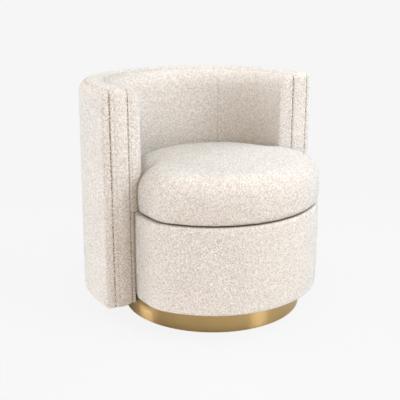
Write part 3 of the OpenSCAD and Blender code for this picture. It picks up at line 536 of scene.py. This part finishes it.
def make_drum_dust_cloth():
    """Cloth stretched under the seat, open around the swivel. Returns it, its flat area and its rim."""
    low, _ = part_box("drum_dust_cloth")
    rim = drum_outline(DRUM_R + low.y, 0.008)
    turn = np.arctan2(rim[:, 1], rim[:, 0])
    hole = DUST_HOLE_R * np.column_stack([np.cos(turn), np.sin(turn)])
    rows = []
    for share in spaced(0, 1, 0.04):
        place = rim + (hole - rim) * share
        sag = 0.0003 * math.sin(math.pi * share) * np.sin(9 * turn)
        rows.append(np.column_stack([place, low.z + DUST_CLOTH_LIFT + sag]))
    area = flat_area(rim) - flat_area(hole)
    return grid_object("seat_dust_cloth", np.array(rows), closed=True, flip=True), area, rim


def make_back_dust_cloth():
    """Cloth under the curved back. Returns it, its flat area and its outer edge."""
    low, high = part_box("back_dust_cloth")
    inner = high.x - DUST_CLOTH_W
    reach = QUARTER + BACK_Y - low.y
    along = spaced(-reach, reach, 0.008)[None, :]
    radius = spaced(inner, high.x, 0.008)[:, None]
    x, y = barrel_point(along + 0 * radius, radius + 0 * along)
    sag = 0.0003 * np.sin(40 * along) * np.sin(np.pi * (radius - inner) / DUST_CLOTH_W)
    area = math.pi / 2 * (high.x**2 - inner**2) + 2 * (BACK_Y - low.y) * DUST_CLOTH_W
    cloth = grid_object("back_dust_sheet", np.stack([x, y, low.z + DUST_CLOTH_LIFT + sag], -1))
    return cloth, area, np.stack([x[-1], y[-1]], -1)


def make_staples(name, line, inset, z):
    """Staples along a line in plan, inside it by an inset, each a flat crown of wire."""
    points, faces = [], []
    step = np.linalg.norm(np.diff(line, axis=0), axis=1)
    run = np.concatenate([[0], np.cumsum(step)])
    for place in np.arange(STAPLE_GAP / 2, run[-1], STAPLE_GAP):
        at = np.array([np.interp(place, run, line[:, axis]) for axis in (0, 1)])
        ahead = np.array([np.interp(place + 0.004, run, line[:, axis]) for axis in (0, 1)]) - at
        if np.linalg.norm(ahead) < 1e-6:
            continue
        ahead = ahead / np.linalg.norm(ahead)
        side = np.array([-ahead[1], ahead[0]])
        middle = at + inset * side
        first = len(points)
        for u, v, w in itertools.product((-1, 1), (-1, 1), (0, 1)):
            flat = middle + ahead * (STAPLE_HALF_W - STAPLE_WIRE * w) * u
            flat = flat + side * (STAPLE_WIRE - 0.0002 * w) * v
            points.append((*flat, z - STAPLE_WIRE * w))
        corners = ((0, 2, 6, 4), (1, 5, 7, 3), (0, 4, 5, 1), (2, 3, 7, 6), (0, 1, 3, 2), (4, 6, 7, 5))
        faces += [[first + c for c in face] for face in corners]
    return mesh_object(name, points, faces)


def make_brass_band():
    """Sheet brass around the plinth, with eased edges and a butt joint at the rear."""
    outer, thick, ease = RING_HIGH.x, BRASS_THICK, BRASS_EASE
    low, high = RING_LOW.z, RING_HIGH.z
    section = [(outer - thick, low), (outer - ease, low)]
    section += [(outer - ease * (1 - math.sin(a)), low + ease * (1 - math.cos(a))) for a in (0.5, 1.1)]
    section += [(outer, z) for z in spaced(low + ease, high - ease, 0.012)]
    section += [(outer - ease * (1 - math.sin(a)), high - ease * (1 - math.cos(a))) for a in (1.1, 0.5)]
    section += [(outer - ease, high), (outer - thick, high)]
    joint = math.pi / 2
    at_joint = [joint - 0.002, joint - 0.0008, joint, joint + 0.0008, joint + 0.002]
    turn = np.concatenate([at_joint, np.linspace(joint + 0.02, joint + 2 * math.pi - 0.02, 360)])
    nick = np.where(np.abs(turn - joint) < 0.0009, 0.0004, 0)
    rows = []
    for radius, z in section:
        held = np.minimum(radius, outer - nick)
        rows.append(np.column_stack([held * np.cos(turn), held * np.sin(turn), np.full(len(turn), z)]))
    return grid_object("brass_band", np.array(rows), closed=True)


# Loose cushion


def make_cushion():
    """The cushion's cover, swollen by pressure from its foam's form."""
    core = frame["nodes"]["cushion_foam"]
    form = bpy.data.objects.new("seat_cushion", core.data.copy())
    bpy.context.scene.collection.objects.link(form)
    bpy.context.view_layer.objects.active = form
    remesh = form.modifiers.new("remesh", "REMESH")
    remesh.mode = "VOXEL"
    remesh.voxel_size = CUSHION_VOXEL
    smooth = form.modifiers.new("smooth", "SMOOTH")
    smooth.factor = 0.5
    smooth.iterations = CUSHION_SMOOTHING
    apply_modifiers(form)
    set_vertices(form, vertex_array(form) + WADDING * normal_array(form))
    swell(form, CUSHION_SWELL)
    set_vertices(form, held_in(vertex_array(form)))
    finer = form.modifiers.new("finer", "SUBSURF")
    finer.levels = finer.render_levels = 1
    apply_modifiers(form)
    points = vertex_array(form)
    above = (points[:, 2] - CUSHION_LOW.z) / LOOPS_FADE
    in_front = (LAP_Y + 0.002 - points[:, 1]) / LOOPS_FADE
    crown = (points[:, 2] - CUSHION_LOW.z - 0.07) / 0.02
    loop_cloth(form, np.clip(np.minimum(above, np.maximum(in_front, crown)), 0.1, 1))
    form.data.polygons.foreach_set("use_smooth", [True] * len(form.data.polygons))
    return form


def held_in(points):
    """Keeps the cushion's points on the seat, inside the curved back and in front of the arms."""
    x, y, z = points.T
    z = np.clip(z, CUSHION_LOW.z, CUSHION_HIGH.z)
    behind = np.maximum(y - BACK_Y, 0)
    spread = np.hypot(x, behind)
    squeeze = np.where(y > LAP_Y, np.minimum(1, CUSHION_REAR_R / np.maximum(spread, 1e-6)), 1)
    x = np.where(np.abs(x) > CUSHION_REAR_R + 0.006, x, x * squeeze)
    y = np.where(y > BACK_Y, BACK_Y + behind * squeeze, y)
    y = np.where(np.abs(x) > CUSHION_REAR_R + 0.001, np.minimum(y, LAP_Y), y)
    return np.stack([x, y, z], 1)


def apply_modifiers(thing):
    evaluated = thing.evaluated_get(bpy.context.evaluated_depsgraph_get())
    shaped = bpy.data.meshes.new_from_object(evaluated)
    thing.modifiers.clear()
    thing.data = shaped


def swell(thing, most):
    """Blows a closed mesh up as cloth, with no point moving further than most."""
    start = vertex_array(thing)
    cloth = thing.modifiers.new("cloth", "CLOTH")
    cloth.settings.use_pressure = True
    cloth.settings.uniform_pressure_force = 4
    cloth.settings.effector_weights.gravity = 0
    cloth.settings.quality = 5
    cloth.settings.mass = 0.3
    cloth.settings.tension_stiffness = 20
    cloth.settings.compression_stiffness = 20
    cloth.settings.bending_stiffness = 4
    cloth.collision_settings.use_collision = False
    cloth.point_cache.frame_start, cloth.point_cache.frame_end = 1, SWELL_FRAMES
    for step in range(1, SWELL_FRAMES + 1):
        bpy.context.scene.frame_set(step)
    apply_modifiers(thing)
    bpy.context.scene.frame_set(1)
    moved = vertex_array(thing) - start
    length = np.linalg.norm(moved, axis=1, keepdims=True)
    set_vertices(thing, start + moved * np.minimum(1, most / np.maximum(length, 1e-9)))


# Materials


class Shader:
    """A material's node tree with short ways to add and join nodes."""

    def __init__(self, name):
        self.material = bpy.data.materials.new(name)
        self.material.use_nodes = True
        self.tree = self.material.node_tree
        self.tree.nodes.clear()
        self.out = self.node("ShaderNodeOutputMaterial")
        self.surface = self.node("ShaderNodeBsdfPrincipled")
        self.join(self.surface.outputs[0], self.out.inputs["Surface"])

    def node(self, kind, values=None, **settings):
        made = self.tree.nodes.new(kind)
        for key, value in settings.items():
            setattr(made, key, value)
        for key, value in (values or {}).items():
            if isinstance(value, bpy.types.NodeSocket):
                self.join(value, made.inputs[key])
            else:
                made.inputs[key].default_value = value
        return made

    def join(self, source, target):
        self.tree.links.new(source, target)

    def maths(self, operation, first, second=0.0, clamp=False):
        made = self.node("ShaderNodeMath", {0: first, 1: second}, operation=operation, use_clamp=clamp)
        return made.outputs[0]

    def vector_maths(self, operation, first, second):
        return self.node("ShaderNodeVectorMath", {0: first, 1: second}, operation=operation).outputs[0]

    def mix(self, share, first, second):
        made = self.node("ShaderNodeMix", {"Factor": share}, data_type="RGBA")
        for socket, value in ((made.inputs[6], first), (made.inputs[7], second)):
            if isinstance(value, bpy.types.NodeSocket):
                self.join(value, socket)
            else:
                socket.default_value = (*value, 1)
        return made.outputs[2]

    def ramp(self, share, *stops):
        made = self.node("ShaderNodeValToRGB", {"Fac": share})
        elements = made.color_ramp.elements
        while len(elements) < len(stops):
            elements.new(0.5)
        for element, (place, shade) in zip(elements, stops):
            element.position = place
            element.color = (*shade, 1)
        return made.outputs["Color"]

    def span(self, value, low, high, to_low=0.0, to_high=1.0):
        values = {"Value": value, "From Min": low, "From Max": high, "To Min": to_low, "To Max": to_high}
        return self.node("ShaderNodeMapRange", values).outputs["Result"]

    def noise(self, place, scale, detail=2.0, roughness=0.5):
        values = {"Vector": place, "Scale": scale, "Detail": detail, "Roughness": roughness}
        return self.node("ShaderNodeTexNoise", values)

    def bump(self, height, strength, distance):
        values = {"Height": height, "Strength": strength, "Distance": distance}
        return self.node("ShaderNodeBump", values).outputs["Normal"]

    def set(self, **values):
        for key, value in values.items():
            socket = self.surface.inputs[key.replace("_", " ")]
            if isinstance(value, bpy.types.NodeSocket):
                self.join(value, socket)
            else:
                socket.default_value = value


def colour(red, green, blue):
    """A display colour from 0 to 255 as the linear values that a shader takes."""
    shares = (level / 255 for level in (red, green, blue))
    return tuple(((share + 0.055) / 1.055) ** 2.4 if share > 0.04 else share / 12.92 for share in shares)


def boucle():
    """Looped cream cloth: curled pale yarn over a darker ground that is partly painted shade between the
    loops, browner along its seams, and with painted shade browning its hollows.
    """
    s = Shader("boucle")
    rest = s.node("ShaderNodeAttribute", attribute_name="rest").outputs["Vector"]
    seam = s.node("ShaderNodeAttribute", attribute_name="seam").outputs["Fac"]
    wander = s.noise(rest, 300.0).outputs["Color"]
    pushed = s.vector_maths("MULTIPLY", wander, (0.003, 0.003, 0.003))
    place = s.vector_maths("ADD", rest, pushed)
    cells = s.node("ShaderNodeTexVoronoi", {"Vector": place, "Scale": 1 / KNOT_SIZE}, feature="F1")
    knots = s.span(cells.outputs["Distance"], 0.1, 0.7, 1.0, 0.0)
    parts = s.node("ShaderNodeSeparateColor", {0: cells.outputs["Color"]})
    curl = s.noise(place, 640.0, 1.0).outputs["Fac"]
    ridge = s.maths("ABSOLUTE", s.maths("SUBTRACT", curl, 0.5))
    yarn = s.span(ridge, 0.0, 0.14, 1.0, 0.0)
    height = s.maths("ADD", s.maths("MULTIPLY", knots, 0.6), s.maths("MULTIPLY", yarn, 0.4))
    # Loop tops and knots turn pale and the ground between them dark: partly the knots' random tone,
    # partly painted shade between the loops
    light = s.maths("ADD", s.maths("MULTIPLY", height, 0.55), s.maths("MULTIPLY", parts.outputs[0], 0.45))
    tone = s.noise(rest, 9.0, 3.0).outputs["Fac"]
    pale = s.mix(s.span(tone, 0.35, 0.65), colour(255, 254, 250), colour(254, 251, 247))
    # This ground colour is the yarn's tone darkened by painted shade between the loops
    cloth = s.mix(s.span(light, 0.24, 0.66), colour(200, 193, 183), pale)
    pits = s.span(s.noise(rest, 215.0, 1.0).outputs["Fac"], 0.47, 0.53, 0.15, 1.0)
    line = s.maths("MULTIPLY", seam, pits, clamp=True)
    cloth = s.mix(line, cloth, colour(116, 97, 80))
    # Painted shade: where the AO node finds hollows, creases and gaps between parts, the colour turns
    # dark brown
    ao_for_painted_shade = s.node("ShaderNodeAmbientOcclusion", {"Distance": 0.022}, samples=6).outputs["AO"]
    cloth = s.mix(s.span(ao_for_painted_shade, 0.04, 0.44), colour(140, 108, 82), cloth)
    bumps = s.bump(height, 1.0, 0.0050)
    s.set(Base_Color=cloth, Roughness=0.95, Specular_IOR_Level=0.0, Normal=bumps)
    return s.material


def brass():
    """Brass sheet, brushed around and lacquered."""
    s = Shader("brushed_brass")
    place = s.node("ShaderNodeTexCoord").outputs["Object"]
    parts = s.node("ShaderNodeSeparateXYZ", {0: place})
    turn = s.maths("ARCTAN2", parts.outputs[1], parts.outputs[0])
    flat = s.node("ShaderNodeCombineXYZ", {0: turn, 2: parts.outputs[2]}).outputs[0]
    lines = s.noise(s.vector_maths("MULTIPLY", flat, (3.0, 1.0, 2600.0)), 1.0, 4.0, 0.6).outputs["Fac"]
    cloudy = s.noise(place, 18.0, 3.0).outputs["Fac"]
    metal = s.mix(s.span(lines, 0.3, 0.7), colour(182, 152, 101), colour(196, 168, 117))
    rough = s.maths("ADD", s.span(lines, 0.3, 0.7, 0.32, 0.38), s.span(cloudy, 0.3, 0.7, 0.0, 0.05))
    around_z = s.node("ShaderNodeTangent", direction_type="RADIAL", axis="Z").outputs[0]
    s.set(Base_Color=metal, Metallic=1.0, Roughness=rough, Normal=s.bump(lines, 0.12, 0.0004))
    s.set(Anisotropic=0.9, Anisotropic_Rotation=0.25, Tangent=around_z)
    return s.material


def timber():
    """Bare plywood and softwood, with grain along the piece."""
    s = Shader("bare_timber")
    place = s.node("ShaderNodeTexCoord").outputs["Object"]
    plies = s.noise(s.vector_maths("MULTIPLY", place, (14.0, 14.0, 260.0)), 1.0, 3.0, 0.6).outputs["Fac"]
    pores = s.noise(place, 900.0, 2.0).outputs["Fac"]
    dark, mid, pale = colour(176, 137, 92), colour(206, 171, 124), colour(222, 190, 145)
    wood = s.ramp(plies, (0.3, dark), (0.5, mid), (0.7, pale))
    wood = s.mix(s.span(pores, 0.55, 0.75, 0.0, 0.35), wood, colour(150, 112, 72))
    height = s.maths("ADD", plies, s.maths("MULTIPLY", pores, 0.4))
    rough = s.span(plies, 0.3, 0.7, 0.6, 0.75)
    s.set(Base_Color=wood, Roughness=rough, Normal=s.bump(height, 0.25, 0.0006))
    return s.material


def speckled(name, low, high, scale, rough, strength, depth, metallic=0.0):
    """A plain material with two tones, low and high, in a fine speckle and a matching surface."""
    s = Shader(name)
    place = s.node("ShaderNodeTexCoord").outputs["Object"]
    fine = s.noise(place, scale, 3.0, 0.6).outputs["Fac"]
    broad = s.noise(place, scale / 18, 2.0).outputs["Fac"]
    grain = s.maths("MULTIPLY", s.span(fine, 0.3, 0.7), 0.7)
    share = s.maths("ADD", grain, s.maths("MULTIPLY", broad, 0.3))
    s.set(Base_Color=s.mix(share, low, high), Metallic=metallic, Normal=s.bump(fine, strength, depth))
    s.set(Roughness=s.span(fine, 0.3, 0.7, rough - 0.06, rough + 0.06))
    return s.material


def foam():
    """Open-cell foam: pale yellow with small dark pores."""
    s = Shader("open_cell_foam")
    place = s.node("ShaderNodeTexCoord").outputs["Object"]
    cells = s.node("ShaderNodeTexVoronoi", {"Vector": place, "Scale": 900.0}, feature="F1")
    pores = cells.outputs["Distance"]
    broad = s.noise(place, 22.0, 2.0).outputs["Fac"]
    body = s.mix(s.span(broad, 0.35, 0.65), colour(240, 226, 178), colour(246, 234, 194))
    body = s.mix(s.span(pores, 0.05, 0.4, 0.55, 0.0), body, colour(196, 172, 116))
    s.set(Base_Color=body, Roughness=0.95, Normal=s.bump(pores, 0.5, 0.0008))
    return s.material


def woven(name, low, high, pitch, rough):
    """Plain weave of two crossing threads, pitch apart, on flat lying cloth."""
    s = Shader(name)
    place = s.node("ShaderNodeTexCoord").outputs["Object"]
    wave_x = s.node("ShaderNodeTexWave", {"Vector": place, "Scale": 0.5 / pitch}, bands_direction="X")
    wave_y = s.node("ShaderNodeTexWave", {"Vector": place, "Scale": 0.5 / pitch}, bands_direction="Y")
    threads = s.maths("MAXIMUM", wave_x.outputs["Fac"], wave_y.outputs["Fac"])
    slub = s.noise(place, 0.4 / pitch, 3.0).outputs["Fac"]
    share = s.maths("MULTIPLY", threads, s.span(slub, 0.3, 0.7, 0.6, 1.0))
    s.set(Base_Color=s.mix(share, low, high), Roughness=rough, Normal=s.bump(threads, 0.5, 0.3 * pitch))
    return s.material


# name, lower tone, higher tone, scale of the speckle, roughness, bumps' strength and depth, metallic
SPECKLED = {
    "fibreboard": ("fibreboard", (128, 96, 62), (168, 134, 94), 500.0, 0.8, 0.25, 0.0005),
    "steel": ("zinc_plated_steel", (168, 171, 176), (204, 207, 210), 160.0, 0.38, 0.06, 0.0002, 1.0),
    "glide_plastic": ("glide_plastic", (30, 30, 33), (52, 52, 55), 1200.0, 0.55, 0.2, 0.0002),
    "cage_plastic": ("cage_plastic", (214, 212, 202), (228, 226, 216), 900.0, 0.5, 0.1, 0.0002),
    "dust_cloth": ("dust_cloth", (18, 18, 20), (44, 44, 47), 700.0, 0.9, 0.3, 0.0003),
}
# name, lower tone, higher tone, pitch of the threads, roughness
WOVEN = {
    "webbing": ("seat_webbing", (52, 44, 36), (116, 102, 86), 0.0022, 0.85),
    "deck_cloth": ("deck_cotton", (186, 176, 160), (222, 214, 200), 0.0012, 0.9),
    "zip": ("zip_tape", (176, 164, 148), (214, 203, 188), 0.0009, 0.8),
}
MATERIALS = {"boucle": boucle(), "brass_ring": brass(), "timber": timber(), "foam": foam()}
for slot, (name, low, high, *rest) in SPECKLED.items():
    MATERIALS[slot] = speckled(name, colour(*low), colour(*high), *rest)
for slot, (name, low, high, *rest) in WOVEN.items():
    MATERIALS[slot] = woven(name, colour(*low), colour(*high), *rest)


def give_material(thing, slot):
    thing.data.materials.clear()
    thing.data.materials.append(MATERIALS[slot])


def dress_nodes():
    """Gives every CAD node the material of its record."""
    for part in frame["record"]["subparts"]:
        give_material(frame["nodes"][part["node"]], part["material_slot"])


def add_piece(piece, body, slot, *nodes):
    """Gives a piece its material and body, and hides the nodes that it stands for."""
    give_material(piece, slot)
    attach(piece, body)
    if nodes:
        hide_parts(*nodes)
    return piece


dress_nodes()
seam_along = BACK_SEAM_ANGLE * OUTER_SEAM
left_seam, right_seam = (-seam_along, LEFT_SEAM_STRENGTH), (seam_along, RIGHT_SEAM_STRENGTH)
add_piece(make_outer_panel(), "seat", "boucle", "outer_cover", "outer_foam")
add_piece(make_band(), "seat", "boucle", "band_cover", "band_foam")
for name, start, stop, seams, nodes in (
    ("left", -HALF_LENGTH, -seam_along, [left_seam], ["inner_cover_left"]),
    ("middle", -seam_along, seam_along, [left_seam, right_seam], ["inner_cover_middle", "inner_foam"]),
    ("right", seam_along, HALF_LENGTH, [right_seam], ["inner_cover_right"]),
):
    panel = make_inner_panel(f"inner_panel_{name}", start, stop, seams)
    add_piece(panel, "seat", "boucle", *nodes)
add_piece(make_drum(), "seat", "boucle", "drum_cover", "drum_foam")
add_piece(make_cushion(), "cushion", "boucle", "cushion_cover", "cushion_foam")
add_piece(make_deck_pad(), "seat", "foam", "deck_pad")

deck, deck_area = make_deck_cloth()
add_piece(deck, "seat", "deck_cloth", "deck_cloth")
under_seat, under_area, seat_edge = make_drum_dust_cloth()
add_piece(under_seat, "seat", "dust_cloth", "drum_dust_cloth")
low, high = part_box("drum_dust_cloth")
under_back, under_area, back_edge = make_back_dust_cloth()
add_piece(under_back, "seat", "dust_cloth", "back_dust_cloth")
low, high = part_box("back_dust_cloth")
staple_z = low.z + 0.0002
add_piece(make_staples("seat_staples", seat_edge, SEAT_HEM, staple_z), "seat", "steel")
add_piece(make_staples("back_staples", back_edge[::-1], BACK_HEM, staple_z), "seat", "steel")
add_piece(make_brass_band(), "plinth", "brass_ring", "plinth_ring")


# Studio


def make_camera():
    """The camera of the photo."""
    data = bpy.data.cameras.new("camera")
    data.lens = CAMERA_LENS
    data.sensor_width = SENSOR_WIDTH
    camera = bpy.data.objects.new("camera", data)
    bpy.context.scene.collection.objects.link(camera)
    flat, rise = math.cos(CAMERA_ELEVATION), math.sin(CAMERA_ELEVATION)
    back = Vector((math.sin(CAMERA_AZIMUTH) * flat, -math.cos(CAMERA_AZIMUTH) * flat, rise))
    camera.location = CAMERA_TARGET + back * CAMERA_DISTANCE
    camera.rotation_mode = "QUATERNION"
    camera.rotation_quaternion = (-back).to_track_quat("-Z", "Y")
    data.clip_start, data.clip_end = 0.05, 60
    bpy.context.scene.camera = camera


def area_lamp(name, place, width, height, power, tint):
    """A soft lamp. Only the strips are mirrored in the brass."""
    data = bpy.data.lights.new(name, "AREA")
    data.shape = "RECTANGLE"
    data.size, data.size_y = width, height
    data.energy = power
    data.color = tint
    lamp = bpy.data.objects.new(name, data)
    bpy.context.scene.collection.objects.link(lamp)
    lamp.location = place
    aim = LAMP_TARGET - Vector(place)
    lamp.rotation_mode = "QUATERNION"
    lamp.rotation_quaternion = aim.to_track_quat("-Z", "Y")
    lamp.visible_glossy = "strip" in name


def make_world():
    """Even backdrop for the camera, and soft light all around for everything else."""
    world = bpy.data.worlds.new("studio")
    bpy.context.scene.world = world
    world.use_nodes = True
    tree = world.node_tree
    tree.nodes.clear()
    out = tree.nodes.new("ShaderNodeOutputWorld")
    path = tree.nodes.new("ShaderNodeLightPath")
    shades = {}
    for name, tint in (("seen", BACKDROP), ("lit", AMBIENT), ("shine", SHINE)):
        shades[name] = tree.nodes.new("ShaderNodeBackground")
        shades[name].inputs["Color"].default_value = (*tint, 1)
        shades[name].inputs["Strength"].default_value = 1.0
    inner = tree.nodes.new("ShaderNodeMixShader")
    outer = tree.nodes.new("ShaderNodeMixShader")
    tree.links.new(path.outputs["Is Glossy Ray"], inner.inputs[0])
    tree.links.new(shades["lit"].outputs[0], inner.inputs[1])
    tree.links.new(shades["shine"].outputs[0], inner.inputs[2])
    tree.links.new(path.outputs["Is Camera Ray"], outer.inputs[0])
    tree.links.new(inner.outputs[0], outer.inputs[1])
    tree.links.new(shades["seen"].outputs[0], outer.inputs[2])
    tree.links.new(outer.outputs[0], out.inputs["Surface"])


def make_floor():
    """Pale floor that keeps a faint shadow and fades into the backdrop away from the object."""
    size = FLOOR_SIZE
    corners = [(-size, -size, 0), (size, -size, 0), (size, size, 0), (-size, size, 0)]
    floor = mesh_object("floor", corners, [(0, 1, 2, 3)])
    s = Shader("floor")
    place = s.node("ShaderNodeTexCoord").outputs["Object"]
    reach = s.node("ShaderNodeVectorMath", {0: place}, operation="LENGTH").outputs["Value"]
    s.set(Base_Color=(*FLOOR, 1), Roughness=0.9, Specular_IOR_Level=0.0)
    glow = s.node("ShaderNodeEmission", {"Color": (*BACKDROP, 1), "Strength": 1.0})
    camera = s.node("ShaderNodeLightPath").outputs["Is Camera Ray"]
    even = s.maths("MULTIPLY", camera, FLOOR_EVENNESS)
    seen = s.node("ShaderNodeMixShader", {0: even, 1: s.surface.outputs[0], 2: glow.outputs[0]})
    clear = s.node("ShaderNodeBsdfTransparent")
    fade = s.span(reach, *FLOOR_FADE)
    mix = s.node("ShaderNodeMixShader", {0: fade, 1: seen.outputs[0], 2: clear.outputs[0]})
    s.join(mix.outputs[0], s.out.inputs["Surface"])
    floor.data.materials.append(s.material)


BACKDROP = colour(246, 246, 246)
AMBIENT = (0.20, 0.20, 0.20)
SHINE = (0.26, 0.26, 0.26)  # what shiny surfaces mirror away from the lamps
FLOOR = colour(196, 196, 196)
FLOOR_EVENNESS = 0.94  # share of the backdrop's tone in what the camera sees of the floor
FLOOR_SIZE = 6.0
FLOOR_FADE = (0.6, 1.6)  # distances between which the floor fades out
LAMP_TARGET = Vector((0, 0.05, 0.35))
LAMPS = (
    # name, place, width, height, power, tint
    ("top", (0.1, 0.1, 3.0), 2.0, 2.0, 19, (1.0, 0.72, 0.48)),
    ("high right front", (1.9, -1.7, 2.3), 1.8, 1.8, 69, (0.98, 0.94, 0.92)),
    ("high right", (2.6, -0.4, 2.2), 1.8, 1.8, 61, (0.78, 0.9, 1.0)),
    ("right", (3.0, -0.3, 1.2), 2.0, 2.0, 17, (0.6, 0.78, 1.0)),
    ("left", (-3.0, 0.5, 1.2), 2.0, 2.0, 55, (0.76, 0.87, 1.0)),
    ("back left", (-1.8, 2.4, 1.8), 1.8, 1.8, 113, (1.0, 0.98, 0.97)),
    ("camera side", (-1.7, -2.5, 1.4), 1.8, 1.8, 118, (1.0, 0.82, 0.69)),
    ("high front", (0.9, -2.0, 2.9), 1.8, 1.8, 84, (0.76, 0.9, 1.0)),
    ("low left strip", (-2.60, 1.50, 0.28), 1.0, 0.45, 25, (1.0, 1.0, 1.0)),
    ("low right strip", (1.22, -2.74, 0.45), 0.9, 0.8, 17, (1.0, 1.0, 1.0)),
)
make_camera()
make_world()
make_floor()
for lamp in LAMPS:
    area_lamp(*lamp)

scene = bpy.context.scene
scene.view_settings.view_transform = "Standard"
